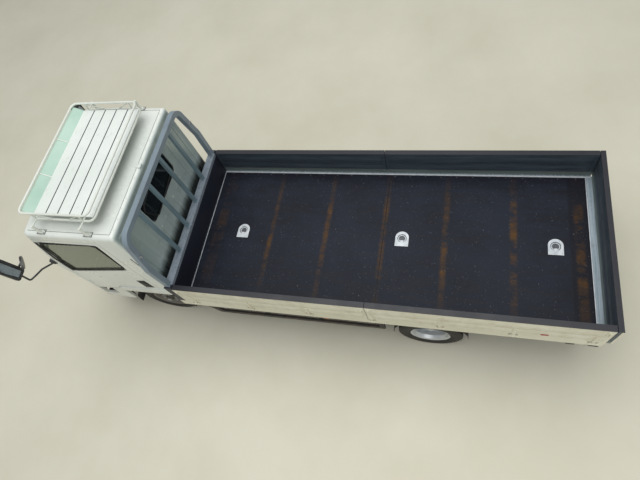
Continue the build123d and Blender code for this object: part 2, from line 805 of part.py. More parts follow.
def fuel_tank():
    tank = block(-780, -FRAME_HALF - 14, 330, 930, 410, 650)
    tank = fillet(tank.edges().filter_by(Axis.Y), 40)
    return tank + block(-700, -FRAME_HALF, 400, 430, 650, 662) + block(-700, -FRAME_HALF, 830, 860, 650, 662)


def battery_box():
    box = block(FRAME_HALF + 12, 760, 260, 700, 400, 640)
    return fillet(box.edges().filter_by(Axis.Z), 12) + block(FRAME_HALF, FRAME_HALF + 14, 300, 660, 500, 640)


def spare_post():
    """The post under the frame that the spare wheel hangs on."""
    top_of_disc = SPARE_Z + FRONT_FACE + DISC_HALF
    return rod_z(0, SPARE_Y, top_of_disc, 605, 20) + rod_z(0, SPARE_Y, top_of_disc, top_of_disc + 8, 76)


def spare_wheel():
    """The spare, hung flat under the frame's tail."""
    tyre = Pos(0, SPARE_Y, SPARE_Z) * revolve(Plane.XZ * tyre_profile(), Axis.Z)
    rim = Pos(0, SPARE_Y, SPARE_Z) * wheel_rim(FRONT_CROWN, FRONT_FACE)
    return [tyre, rim]


def rear_bar():
    """The under-run bar behind the frame, with its two stays."""
    bar = block(-850, 850, FRAME_REAR + 10, FRAME_REAR + 70, 420, 520)
    for side in (-1, 1):
        x0, x1 = sorted((side * (FRAME_HALF - FRAME_FLANGE), side * FRAME_HALF))
        bar += block(x0, x1, FRAME_REAR, FRAME_REAR + 12, 420, FRAME_TOP)
    return bar


def rear_lamp():
    """The left lamp cluster under the bed's rear sill."""
    return block(560, 860, TAIL_INNER - 4, TAIL_OUTER - 10, 695, FLOOR_TOP - SIDE_SILL_HEIGHT)


# Side guards: x0, x1 of the bars and the low and high z of each
GUARD_BAR_ROWS = [(330, 390), (500, 560), (670, 730)]
SIDE_GUARD_X = 850
SIDE_GUARD_THICK = 28
SIDE_GUARD_FRONT = 60
SIDE_GUARD_REAR = 2290


def side_guard():
    """The left guard between the wheels: three long bars and a sloped front upright."""
    x0, x1 = SIDE_GUARD_X, SIDE_GUARD_X + SIDE_GUARD_THICK
    front = outline([
        (SIDE_GUARD_FRONT, 785), (SIDE_GUARD_FRONT, 560), (SIDE_GUARD_FRONT + 125, 330), (SIDE_GUARD_FRONT + 215, 330),
        (SIDE_GUARD_FRONT + 60, 590), (SIDE_GUARD_FRONT + 60, 785),
    ])
    guard = along_x(front, x0, x1)
    guard += block(x0, x1, SIDE_GUARD_REAR - 60, SIDE_GUARD_REAR, 330, 785)
    for y in (820, 1512):
        guard += block(x0 - 30, x0, y - 20, y + 20, 330, 785)
    for low, high in GUARD_BAR_ROWS:
        start = SIDE_GUARD_FRONT + 20 if low > 480 else SIDE_GUARD_FRONT + 170
        guard += block(x0, x1, start, SIDE_GUARD_REAR - 30, low, high)
    return guard


MUD_R = 405
MUD_THICK = 5


def arch_guard(y, x0, x1, top):
    """A guard bent round a tyre, cut flat at its top, down to a little over the axle's height."""
    ring_face = Circle(MUD_R + MUD_THICK) - Circle(MUD_R)
    sheet = along_x(Pos(y, AXLE_Z) * ring_face, x0, x1)
    sheet = sheet & block(x0, x1, y - 1000, y + 1000, AXLE_Z - 20, top)
    return sheet + (block(x0, x1, y - 1000, y + 1000, top - MUD_THICK, top) & rod_x(x0, x1, y, AXLE_Z, MUD_R + 2))


def rear_mudguards():
    guard = arch_guard(REAR_AXLE_Y, 500, 898, 742)
    sill = [y for y in cross_sill_places() if abs(y - REAR_AXLE_Y) < 120][0]
    return both(guard + block(700, 740, sill - 20, sill + 15, 740, CROSS_SILL_LOW))


def front_mudguards():
    """Liners over the front wheels with a flap behind."""
    liner = arch_guard(FRONT_AXLE_Y, 450, 840, 900)
    liner += block(FRAME_HALF, 462, -219, -195, 500, 530)
    return both(liner)


def leaf_spring(x, y, seat_z, half, camber):
    """A pack of leaves on an axle's pad, longest on top, with ends bowed up and a clamp at the middle."""
    leaves = None
    for n in range(4):
        reach = half * (1 - 0.2 * n)
        low = seat_z + (3 - n) * SPRING_LEAF
        rise = camber * (reach / half) ** 2
        mid = ThreePointArc((y - reach, low + rise), (y, low), (y + reach, low + rise))
        right = Line((y + reach, low + rise), (y + reach, low + rise + SPRING_LEAF))
        top = ThreePointArc((y + reach, low + rise + SPRING_LEAF), (y, low + SPRING_LEAF),
                            (y - reach, low + rise + SPRING_LEAF))
        left = Line((y - reach, low + rise + SPRING_LEAF), (y - reach, low + rise))
        leaf = along_x(make_face([mid, right, top, left]), x - SPRING_WIDTH / 2, x + SPRING_WIDTH / 2)
        leaves = leaf if leaves is None else leaves + leaf
    return leaves


def spring_hangers(x, y, half, eye_z):
    """The frame brackets that hold a spring's two ends."""
    wide = SPRING_WIDTH / 2
    return [block(x - wide, x + wide, y + end * half - 25, y + end * half + 25, eye_z, FRAME_LOW) for end in (-1, 1)]


FRONT_SPRING_HALF = 560
REAR_SPRING_HALF = 600
NOSE_REACH = 260
AXLE_Z = TYRE_R
TWIN_OUTER = REAR_TRACK / 2 + TWIN_PITCH / 2
TWIN_INNER = REAR_TRACK / 2 - TWIN_PITCH / 2
REAR_TUBE_END = TWIN_INNER - TYRE_WIDTH / 2 - 20
FRONT_CROWN = 20
FRONT_FACE = 60
REAR_CROWN = 30
DISC_HALF = 6
REAR_FACE = TWIN_PITCH / 2 - DISC_HALF
DISC_HOLE_R = 60
SPRING_SEAT = AXLE_Z + 50
SPRING_CAMBER = 36


def springs(axle_y, half):
    pack = leaf_spring(SPRING_X, axle_y, SPRING_SEAT, half, SPRING_CAMBER)
    eye = SPRING_SEAT + 4 * SPRING_LEAF + SPRING_CAMBER
    for hanger in spring_hangers(SPRING_X, axle_y, half - 20, eye - 12):
        pack += hanger
    return both(pack)


def front_axle():
    """An I-beam dropped at its middle, with an upright eye for the kingpin at each end."""
    beam_z = AXLE_Z - 4
    beam = block(-KINGPIN_X + 40, KINGPIN_X - 40, FRONT_AXLE_Y - 34, FRONT_AXLE_Y + 34, beam_z - 32, beam_z + 38)
    beam -= block(-KINGPIN_X, KINGPIN_X, FRONT_AXLE_Y + 9, FRONT_AXLE_Y + 40, beam_z - 18, beam_z + 24)
    beam -= block(-KINGPIN_X, KINGPIN_X, FRONT_AXLE_Y - 40, FRONT_AXLE_Y - 9, beam_z - 18, beam_z + 24)
    for side in (-1, 1):
        pad = side * SPRING_X
        beam += block(pad - 30, pad + 30, FRONT_AXLE_Y - 34, FRONT_AXLE_Y + 34, beam_z, SPRING_SEAT)
        x = side * KINGPIN_X
        beam += rod_z(x, FRONT_AXLE_Y, AXLE_Z - 40, AXLE_Z + 40, 36)
        beam += block(min(x, x - side * 45), max(x, x - side * 45), FRONT_AXLE_Y - 30, FRONT_AXLE_Y + 30,
                      AXLE_Z - 36, AXLE_Z + 34)
        beam -= rod_z(x, FRONT_AXLE_Y, AXLE_Z - 60, AXLE_Z + 60, KINGPIN_R + RUNNING)
    return beam


def knuckle():
    """The left steering knuckle: kingpin, fork, stub axle, brake drum back plate and steering arm."""
    x = KINGPIN_X
    pin = rod_z(x, FRONT_AXLE_Y, AXLE_Z - 66, AXLE_Z + 66, KINGPIN_R)
    fork = None
    for low, high in ((AXLE_Z + 44, AXLE_Z + 66), (AXLE_Z - 66, AXLE_Z - 44)):
        lug = rod_z(x, FRONT_AXLE_Y, low, high, 34) + block(x, x + 54, FRONT_AXLE_Y - 30, FRONT_AXLE_Y + 30, low, high)
        fork = lug if fork is None else fork + lug
    yoke = block(x + 42, x + 60, FRONT_AXLE_Y - 30, FRONT_AXLE_Y + 30, AXLE_Z - 66, AXLE_Z + 66)
    stub = rod_x(x + 58, x + 112, FRONT_AXLE_Y, AXLE_Z, STUB_R)
    plate = rod_x(x + 56, x + 62, FRONT_AXLE_Y, AXLE_Z, 150)
    return pin + fork + yoke + stub + plate


def rear_axle():
    """The driven axle's tube with its differential housing and hub ends."""
    beam = rod_x(-REAR_TUBE_END, REAR_TUBE_END, REAR_AXLE_Y, AXLE_Z, 48)
    beam += Pos(0, REAR_AXLE_Y, AXLE_Z) * Sphere(145)
    beam += rod_y(0, REAR_AXLE_Y - NOSE_REACH, REAR_AXLE_Y, AXLE_Z + 5, 62)
    for side in (-1, 1):
        x0, x1 = sorted((side * (REAR_TUBE_END - 14), side * REAR_TUBE_END))
        beam += rod_x(x0, x1, REAR_AXLE_Y, AXLE_Z, 150)
        x0, x1 = sorted((side * REAR_TUBE_END, side * (REAR_TUBE_END + 130)))
        beam += rod_x(x0, x1, REAR_AXLE_Y, AXLE_Z, SPINDLE_R)
        x0, x1 = sorted((side * (SPRING_X - 35), side * (SPRING_X + 35)))
        beam += block(x0, x1, REAR_AXLE_Y - 50, REAR_AXLE_Y + 50, AXLE_Z, SPRING_SEAT)
    return beam


def tyre_profile():
    """A tyre's section as (radius, offset along the axle)."""
    half = TYRE_WIDTH / 2
    bead = RIM_WIDTH / 2 - 8
    return outline([
        (RIM_SEAT_R, -bead), (RIM_R + 6, -bead - 6), (RIM_R + 50, -half), (TYRE_R - 40, -half + 4),
        (TYRE_R - 6, -half + 20), (TYRE_R, -half + 34), (TYRE_R, half - 34), (TYRE_R - 6, half - 20),
        (TYRE_R - 40, half - 4), (RIM_R + 50, half), (RIM_R + 6, bead + 6), (RIM_SEAT_R, bead),
    ])


def barrel_profile():
    """A rim's barrel with its two flanges as (radius, offset along the axle)."""
    half = RIM_WIDTH / 2
    seat = half - 8
    well = RIM_SEAT_R - 22
    return outline([
        (RIM_SEAT_R, -seat), (RIM_R, -seat - 6.5), (RIM_R, -half - 4), (RIM_SEAT_R - 6, -half + 4),
        (well - 8, -half + 40), (well - 8, half - 40), (RIM_SEAT_R - 6, half - 4),
        (RIM_R, half + 4), (RIM_R, seat + 6.5), (RIM_SEAT_R, seat), (well, half - 46), (well, -half + 46),
    ])


def disc_profile(crown, face):
    """A wheel disc: its rim seat at `crown` and its bolting face at `face`, as (radius, offset)."""
    reach = RIM_SEAT_R - 26
    return outline([
        (reach, crown - 12), (reach, crown + 12), (150, crown + DISC_HALF), (118, face + DISC_HALF),
        (DISC_HOLE_R, face + DISC_HALF), (DISC_HOLE_R, face - DISC_HALF), (112, face - DISC_HALF),
        (143, crown - DISC_HALF),
    ])


HAND_HOLES = 5
HAND_HOLE_R = 17
HAND_HOLE_CIRCLE = 134


def wheel_rim(crown, face):
    """A pressed wheel with hand holes."""
    solid = revolve(Plane.XZ * barrel_profile(), Axis.Z) + revolve(Plane.XZ * disc_profile(crown, face), Axis.Z)
    for n in range(HAND_HOLES):
        place = Rot(0, 0, 360 * n / HAND_HOLES) * Pos(HAND_HOLE_CIRCLE, 0, (crown + face) / 2)
        solid -= place * Cylinder(HAND_HOLE_R, 200)
    return solid


def on_axle(solid, side, x, y):
    """Turns a solid drawn about +Z to lie on an axle, its +Z outwards."""
    return Pos(side * x, y, AXLE_Z) * Rot(0, 90 * side, 0) * solid


def front_hub():
    """Hub, drum and grease cap of a front wheel as (radius, offset), with the bore for the stub axle."""
    profile = outline([
        (STUB_R + RUNNING, -30), (STUB_R + RUNNING, 22), (0, 22), (0, 100), (40, 100), (46, 92),
        (46, FRONT_FACE - DISC_HALF), (88, FRONT_FACE - DISC_HALF), (88, 24), (140, 24), (140, -32), (130, -32),
        (130, 12), (52, 12), (46, -30),
    ])
    return revolve(Plane.XZ * profile, Axis.Z)


def front_wheel_parts(side):
    """Tyre and rim, the rim with its hub, of one front wheel."""
    x = FRONT_TRACK / 2
    tyre = on_axle(revolve(Plane.XZ * tyre_profile(), Axis.Z), side, x, FRONT_AXLE_Y)
    rim = on_axle(wheel_rim(FRONT_CROWN, FRONT_FACE), side, x, FRONT_AXLE_Y)
    hub = on_axle(front_hub(), side, x, FRONT_AXLE_Y)
    return tyre, [rim, hub]


def rear_hub():
    """Hub, drum and half-shaft flange of a twin wheel as (radius, offset from the wheels' middle)."""
    inner = REAR_TUBE_END + 6 - REAR_TRACK / 2
    profile = outline([
        (SPINDLE_R + RUNNING, inner + 90), (SPINDLE_R + RUNNING, -84), (0, -84), (0, 128), (44, 128), (56, 116),
        (56, 12), (86, 12), (86, -12), (56, -12), (56, -60), (150, -70), (150, inner), (141, inner), (141, -82),
        (60, -78), (50, inner + 90),
    ])
    return revolve(Plane.XZ * profile, Axis.Z)


def rear_wheel_parts(side):
    """Both tyres, and both rims with the hub between them, of one twin wheel."""
    tyres, rims = [], []
    for x, facing in ((TWIN_OUTER, -1), (TWIN_INNER, 1)):
        tyres.append(on_axle(revolve(Plane.XZ * tyre_profile(), Axis.Z), side, x, REAR_AXLE_Y))
        rims.append(on_axle(wheel_rim(REAR_CROWN, REAR_FACE), side * facing, x * facing, REAR_AXLE_Y))
    return tyres, rims


# Front end on the chassis

BUMPER_TOP = 764
BUMPER_SIDE_TOP = 776
BUMPER_LOW = 470
BUMPER_FACE = -1655
BUMPER_WALL = 30
BUMPER_NOSE_R = 245
STEP_FRONT = -1384
STEP_REAR = -1184
STEP_TOP = 600
STEP_GAP = 3


def bumper_form(inset=0, lower=BUMPER_LOW, upper=BUMPER_TOP):
    """The bumper's wrapped form in plan, bowed at the front and running back to the wheels."""
    front, half = BUMPER_FACE + inset, CAB_HALF - inset
    corner = front + CAB_BOW
    back = -1015
    line = [
        ThreePointArc((-half, corner), (0, front), (half, corner)),
        Line((half, corner), (half, back)),
        Line((half, back), (-half, back)),
        Line((-half, back), (-half, corner)),
    ]
    face = make_face(line)
    face = fillet(face.vertices().sort_by(Axis.Y)[:2], BUMPER_NOSE_R - inset)
    return along_z(face, lower, upper)


def front_bumper():
    """A wrapped bumper whose ends hold the entry steps ahead of the wheels."""
    wall = BUMPER_WALL
    bumper = bumper_form(0, BUMPER_LOW, BUMPER_SIDE_TOP) - bumper_form(wall, BUMPER_LOW - 1, BUMPER_SIDE_TOP + 1)
    bumper -= block(-1000, 1000, -1700, -1555, BUMPER_TOP, 1000)
    bumper -= block(-CAB_HALF + wall, CAB_HALF - wall, -1200, -1000, 0, 1000)
    bumper -= along_y(outline([(-250, 520), (250, 520), (250, 600), (-250, 600)], 12), -1800, -1400)
    well = outline([
        (STEP_FRONT - 10, STEP_TOP), (STEP_REAR + 4, STEP_TOP), (STEP_REAR + 4, 800), (STEP_FRONT - 10, 800),
    ])
    for side in (-1, 1):
        x0, x1 = sorted((side * (CAB_HALF - wall - 8), side * (CAB_HALF + 1)))
        bumper -= along_x(well, x0, x1)
    return bumper


def entry_step():
    """The left tread, on an arm from the bumper's end."""
    inner, outer = CAB_HALF - 190, CAB_HALF - BUMPER_WALL - STEP_GAP
    tread = block(inner, outer, STEP_FRONT, STEP_REAR, STEP_TOP - 30, STEP_TOP)
    tread += block(inner, inner + 10, STEP_FRONT, STEP_REAR, STEP_TOP, BUMPER_SIDE_TOP)
    return tread + block(FRAME_HALF, inner + 10, -1300, -1270, STEP_TOP - 20, STEP_TOP)


if __name__ == "__main__":
    os.makedirs("parts", exist_ok=True)
    export("frame", both(frame_rail()) + crossmembers() + tilt_brackets() + [cab_support(), spare_post()])
    export("engine", engine())
    export("driveline", driveline())
    export("exhaust", exhaust())
    export("fuel_tank", fuel_tank())
    export("battery_box", battery_box())
    export("front_axle", front_axle())
    export("rear_axle", rear_axle())
    export("leaf_springs", springs(FRONT_AXLE_Y, FRONT_SPRING_HALF) + springs(REAR_AXLE_Y, REAR_SPRING_HALF))
    export("front_bumper", front_bumper())
    export("entry_steps", both(entry_step()))
    export("mudguards", front_mudguards() + rear_mudguards())
    export("side_guards", both(side_guard()))
    export("spare_wheel", spare_wheel())
    export("rear_bar", rear_bar())
    export("rear_lamps", both(rear_lamp()))

    export("bed_floor", bed_floor())
    export("bed_sills", bed_sills())
    export("bed_rails", both(side_rail()) + [rear_rail()])
    export("headboard", headboard())
    export("headboard_rail", headboard_rail())
    export("guard_frame", guard_frame())
    export("guard_bars", guard_bars())
    export("lashing_rings", lashing_rings())
    middle = BED_LENGTH / 2
    gates = [("front", GATE_GAP, middle - GATE_GAP / 2), ("rear", middle + GATE_GAP / 2, TAIL_INNER - GATE_GAP)]
    for name, y0, y1 in gates:
        left = gate(y0, y1)
        export(f"gate_left_{name}", left)
        export(f"gate_right_{name}", other_side(left))
    export("tailgate", tailgate())

    export("cab_shell", cab_shell())
    export("cab_roof", cab_roof())
    export("cab_floor", [cab_floor()] + tilt_lugs())
    export("cab_glass", [front_glass(), rear_glass()])
    export("grille", grille())
    export("headlamps", both(headlamp()))
    export("seats", seat(-700, -200) + seat(-150, 700))
    export("dashboard", dashboard())
    export("steering_wheel", steering_wheel())
    mirror_right = mirror_arm()
    export("mirrors", [mirror_right, other_side(mirror_right)])
    export("roof_rack", roof_rack())
    export("rack_slats", rack_slats())
    door_right = other_side(door())
    glass_right = other_side(door_glass())
    for name, side in (("left", 1), ("right", -1)):
        export(f"door_{name}", door_right if side < 0 else other_side(door_right))
        export(f"door_glass_{name}", glass_right if side < 0 else other_side(glass_right))
        export(f"knuckle_{name}", knuckle() if side > 0 else other_side(knuckle()))
        tyre, rim = front_wheel_parts(side)
        export(f"front_tyre_{name}", tyre)
        export(f"front_rim_{name}", rim)
        tyres, rims = rear_wheel_parts(side)
        export(f"rear_tyres_{name}", tyres)
        export(f"rear_rims_{name}", rims + [on_axle(rear_hub(), side, REAR_TRACK / 2, REAR_AXLE_Y)])
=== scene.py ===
import json
import math
import bpy
import bmesh
from mathutils import Matrix, Vector


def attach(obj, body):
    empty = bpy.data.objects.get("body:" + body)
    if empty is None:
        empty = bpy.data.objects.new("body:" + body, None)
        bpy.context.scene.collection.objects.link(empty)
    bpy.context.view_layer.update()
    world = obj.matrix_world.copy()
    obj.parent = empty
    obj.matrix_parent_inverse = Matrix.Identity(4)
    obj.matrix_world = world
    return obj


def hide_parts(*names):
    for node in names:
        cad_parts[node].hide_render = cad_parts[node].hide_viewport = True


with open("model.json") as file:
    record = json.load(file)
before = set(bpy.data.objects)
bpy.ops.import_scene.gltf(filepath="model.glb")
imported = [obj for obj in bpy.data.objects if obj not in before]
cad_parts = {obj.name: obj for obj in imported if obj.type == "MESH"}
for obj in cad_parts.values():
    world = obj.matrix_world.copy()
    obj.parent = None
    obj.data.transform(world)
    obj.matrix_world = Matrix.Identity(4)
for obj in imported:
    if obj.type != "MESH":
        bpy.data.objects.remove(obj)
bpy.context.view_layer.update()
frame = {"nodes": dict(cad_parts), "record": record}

# Places are in millimetres with y = 0 at the bed's front inner face, as the solids are drawn
SHIFT_Y = -1365.0
CAB_BELT_X, CAB_LOW_X, CAB_ROOF_X = 847.0, 842.0, 832.0
CAB_LOW_Z, CAB_BELT_Z, CAB_ROOF_Z = 783.0, 1440.0, 2245.0
CAB_LOW_Y, CAB_BELT_Y, CAB_ROOF_Y = -1600.0, -1625.0, -1288.0
CAB_BACK_Y, CAB_BOW = -150.0, 45.0
NOSE_R, PILLAR_R = 170.0, 60.0
RACK_DECK, SLOPE_REAR = 2391.0, -1041.0
SLAT_PITCH, SLAT_GAP = 144.0, 9.0
RACK_FRONT_FOOT, RACK_REAR_FOOT = -1011, -443
FLOOR_TOP = 895.0
GATE_IN, GATE_OUT = 900.0, 960.0
TAIL_IN, TAIL_OUT = 4400.0, 4448.0
AXLE_Z = 356.0
FRONT_AXLE_Y, REAR_AXLE_Y = -600.0, 2800.0
SIDES = (("left", 1), ("right", -1))
UP = (0, 0, 1)


def along(y):
    """A place along the truck, in metres in the frame."""
    return (y + SHIFT_Y) / 1000


def at(x, y, z):
    """A place in the frame, in metres."""
    return Vector((x / 1000, along(y), z / 1000))


# Materials

MATS = {}


class Nodes:
    """A thin layer over one material's node tree; the material is kept in MATS under its name."""

    def __init__(self, name):
        self.mat = bpy.data.materials.new(name)
        MATS[name] = self.mat
        self.mat.use_nodes = True
        self.tree = self.mat.node_tree
        self.shader = self.tree.nodes["Principled BSDF"]
        coords = self.tree.nodes.new("ShaderNodeTexCoord")
        self.pos = coords.outputs["Object"]

    def node(self, kind, **inputs):
        made = self.tree.nodes.new(kind)
        for key, value in inputs.items():
            self.put(made.inputs[key], value)
        return made

    def put(self, socket, value):
        if isinstance(value, bpy.types.NodeSocket):
            self.tree.links.new(value, socket)
        else:
            socket.default_value = value

    def math(self, operation, a, b=0.0, clamp=False):
        made = self.node("ShaderNodeMath")
        made.operation = operation
        made.use_clamp = clamp
        self.put(made.inputs[0], a)
        self.put(made.inputs[1], b)
        return made.outputs[0]

    def times(self, a, b, clamp=False):
        return self.math("MULTIPLY", a, b, clamp)

    def axis(self, letter):
        """One coordinate of the place, in metres."""
        if not hasattr(self, "split"):
            self.split = self.node("ShaderNodeSeparateXYZ", Vector=self.pos)
        return self.split.outputs[letter]

    def outward(self):
        """How far from the truck's middle plane, in metres."""
        return self.math("ABSOLUTE", self.axis("X"))

    def noise(self, scale, detail=4.0, rough=0.6, stretch=None, seed=0.0):
        place = self.pos
        if stretch:
            start = (seed, seed * 0.7, seed * 1.3)
            place = self.node("ShaderNodeMapping", Vector=place, Scale=stretch, Location=start).outputs[0]
        made = self.node("ShaderNodeTexNoise", Vector=place, Scale=scale, Detail=detail, Roughness=rough)
        return made.outputs["Fac"]

    def ramp(self, value, low, high, out_low=0.0, out_high=1.0):
        ends = {"From Min": low, "From Max": high, "To Min": out_low, "To Max": out_high}
        return self.node("ShaderNodeMapRange", Value=value, **ends).outputs["Result"]

    def drift(self, scale=1.3, detail=3.0):
        """A slow change between two tones."""
        return self.ramp(self.noise(scale, detail), 0.35, 0.65)

    def gloss(self, scale, detail, low, high):
        """A roughness that drifts between two values."""
        return self.ramp(self.noise(scale, detail), 0.3, 0.7, low, high)

    def specks(self, low, high, out_low=0.0, out_high=1.0):
        """Fine road dirt."""
        return self.ramp(self.noise(9.0, 6.0, 0.7, (1, 1, 0.6), 5.0), low, high, out_low, out_high)

    def mix(self, share, a, b):
        made = self.node("ShaderNodeMix")
        made.data_type = "RGBA"
        self.put(made.inputs["Factor"], share)
        self.put(made.inputs["A"], rgba(a))
        self.put(made.inputs["B"], rgba(b))
        return made.outputs["Result"]

    def band(self, value, centre, half, soft):
        """One inside a band about a centre, falling to zero over its soft edge."""
        away = self.math("ABSOLUTE", self.math("SUBTRACT", value, centre))
        return self.ramp(away, half, half + soft, 1.0, 0.0)

    def bump(self, height, strength, distance=0.002):
        made = self.node("ShaderNodeBump", Height=height, Strength=strength, Distance=distance)
        self.tree.links.new(made.outputs["Normal"], self.shader.inputs["Normal"])

    def grain(self, scale=90.0, detail=2.0, strength=0.06):
        """A fine relief, such as a sprayed paint's orange peel."""
        self.bump(self.noise(scale, detail), strength, 0.001)

    def finish(self, colour, rough, metal=0.0, coat=0.0):
        self.put(self.shader.inputs["Base Color"], rgba(colour))
        self.put(self.shader.inputs["Roughness"], rough)
        self.shader.inputs["Metallic"].default_value = metal
        self.shader.inputs["Coat Weight"].default_value = coat


def rgba(colour):
    if isinstance(colour, (tuple, list)) and len(colour) == 3:
        return (*colour, 1.0)
    return colour


def rgb(red, green, blue):
    """A colour from its 0 to 255 values on a screen."""
    parts = []
    for part in (red, green, blue):
        part /= 255
        parts.append(part / 12.92 if part <= 0.04045 else ((part + 0.055) / 1.055) ** 2.4)
    return tuple(parts)


def paint(name, colour, rough, dirt, amount, low=None, metal=0.0):
    """Sprayed paint with a drift in tone, orange peel and dirt, which gathers below between low's heights."""
    n = Nodes(name)
    out = n.mix(n.drift(), tuple(c * 0.9 for c in colour), colour)
    patch = n.ramp(n.noise(3.1, 8.0, 0.7, (1, 1, 1), 3.0), 0.5, 0.74, 0.0, amount)
    if low:
        height = n.ramp(n.axis("Z"), *low, 1.0, 0.0)
        gather = n.times(height, n.math("ADD", n.times(n.specks(0.38, 0.68), 0.6), 0.2))
        patch = n.math("MAXIMUM", patch, gather, clamp=True)
    out = n.mix(patch, out, dirt)
    n.grain()
    n.finish(out, n.gloss(4.0, 4.0, rough - 0.06, rough + 0.1), metal)


def plain(name, colour, rough, metal=0.0, grain=220.0, depth=0.1, vary=0.12):
    """Moulded or cast material with a fine grain and a little drift in tone."""
    n = Nodes(name)
    dark, light = (tuple(c * share for c in colour) for share in (1 - vary, 1 + vary))
    out = n.mix(n.ramp(n.noise(6.0, 5.0), 0.3, 0.7), dark, light)
    n.grain(grain, 3.0, depth)
    n.finish(out, n.gloss(11.0, 3.0, rough - 0.05, rough + 0.08), metal)


# y, half width in metres and strength of each rust band over a cross sill
RUST_BANDS = [
    (150, 0.05, 0.35), (850, 0.012, 0.7), (1535, 0.014, 0.8), (2215, 0.014, 0.9), (2900, 0.016, 0.9),
    (3609, 0.02, 1.0), (4250, 0.03, 0.8),
]


def steel_floor():
    """Worn dark sheet steel: scratches, rubbed paths, flecks, a joint across it and rust over the sills."""
    n = Nodes("bed_steel")
    y = n.axis("Y")
    streak = n.ramp(n.noise(2.2, 8.0, 0.75, (6.0, 1.0, 1.0), 2.0), 0.35, 0.7)
    blotch = n.ramp(n.noise(1.6, 6.0, 0.7, (1, 1, 1), 9.0), 0.35, 0.68)
    out = n.mix(streak, rgb(12, 14, 22), rgb(28, 34, 46))
    out = n.mix(n.times(blotch, 0.5), out, rgb(34, 40, 54))
    out = n.mix(n.ramp(y, along(4150), along(4165), 0.0, 0.6), out, rgb(10, 9, 20))
    wear = n.noise(3.4, 8.0, 0.78, (1.0, 0.5, 1.0), 1.0)
    inward = n.ramp(n.outward(), 0.35, 0.8, 1.0, 0.15)
    for place, half, strength in RUST_BANDS:
        strip = n.times(n.band(y, along(place), half, 0.028), inward)
        share = n.times(strip, n.ramp(wear, 0.42, 0.62, 0.0, strength), clamp=True)
        out = n.mix(share, out, rgb(88, 58, 12))
    ends = n.times(n.ramp(n.outward(), 0.74, 0.9, 0.0, 0.75), n.ramp(wear, 0.36, 0.6), clamp=True)
    out = n.mix(ends, out, rgb(24, 20, 34))
    fleck = n.ramp(n.noise(55.0, 3.0, 0.8, (1.0, 1.0, 1.0), 4.0), 0.645, 0.72, 0.0, 0.45)
    out = n.mix(fleck, out, rgb(150, 152, 158))
    out = n.mix(n.band(y, along(2215), 0.003, 0.003), out, rgb(24, 20, 20))
    n.bump(n.noise(40.0, 4.0, 0.6, (3.0, 1.0, 1.0)), 0.18, 0.002)
    n.shader.inputs["Specular IOR Level"].default_value = 0.22
    n.finish(out, n.ramp(streak, 0.0, 1.0, 0.5, 0.66))


def galvanised():
    """Zinc with small crystal patches and dull stains."""
    n = Nodes("galvanised")
    cell = n.node("ShaderNodeTexVoronoi", Vector=n.pos, Scale=60.0)
    out = n.mix(n.ramp(cell.outputs["Distance"], 0.0, 0.8), rgb(158, 168, 178), rgb(132, 142, 152))
    out = n.mix(n.ramp(n.noise(14.0, 6.0, 0.7), 0.52, 0.72, 0.0, 0.5), out, rgb(82, 84, 88))
    n.grain(120.0, strength=0.08)
    n.finish(out, n.gloss(20.0, 3.0, 0.4, 0.6), 0.35)


def ivory_paint(n):
    return n.mix(n.drift(), rgb(206, 203, 182), rgb(218, 216, 197))


def rail_finish():
    """The bed's edge rails: ivory outside, bare brushed zinc on top and inside."""
    n = Nodes("edge_rails")
    outside = n.ramp(n.outward(), 0.948, 0.949)
    brushed = n.ramp(n.noise(5.0, 6.0, 0.7, (0.4, 9.0, 1.0), 7.0), 0.35, 0.68)
    zinc = n.mix(brushed, rgb(126, 142, 152), rgb(178, 190, 198))
    dirt = n.ramp(n.noise(6.0, 6.0, 0.75, (1, 1, 1), 2.0), 0.55, 0.72, 0.0, 0.5)
    zinc = n.mix(dirt, zinc, rgb(84, 84, 74))
    out = n.mix(outside, zinc, ivory_paint(n))
    n.grain()
    n.finish(out, n.ramp(brushed, 0.0, 1.0, 0.42, 0.58), 0.1)


def lashing_finish():
    """Bright zinc with a dark floor in the ring's dish."""
    n = Nodes("lashing_zinc")
    dish = n.ramp(n.axis("Z"), 0.883, 0.886, 0.9, 0.0)
    worn = n.ramp(n.noise(14.0, 6.0, 0.7), 0.4, 0.7)
    out = n.mix(dish, n.mix(worn, rgb(214, 219, 222), rgb(178, 186, 192)), rgb(44, 48, 54))
    n.grain()
    n.finish(out, n.ramp(worn, 0.0, 1.0, 0.4, 0.55), 0.1)


# Where the ivory begins on the side gates, in metres from the middle plane, and on the tailgate
GATE_COLOUR_X, TAIL_COLOUR_Y = 0.94, 4430


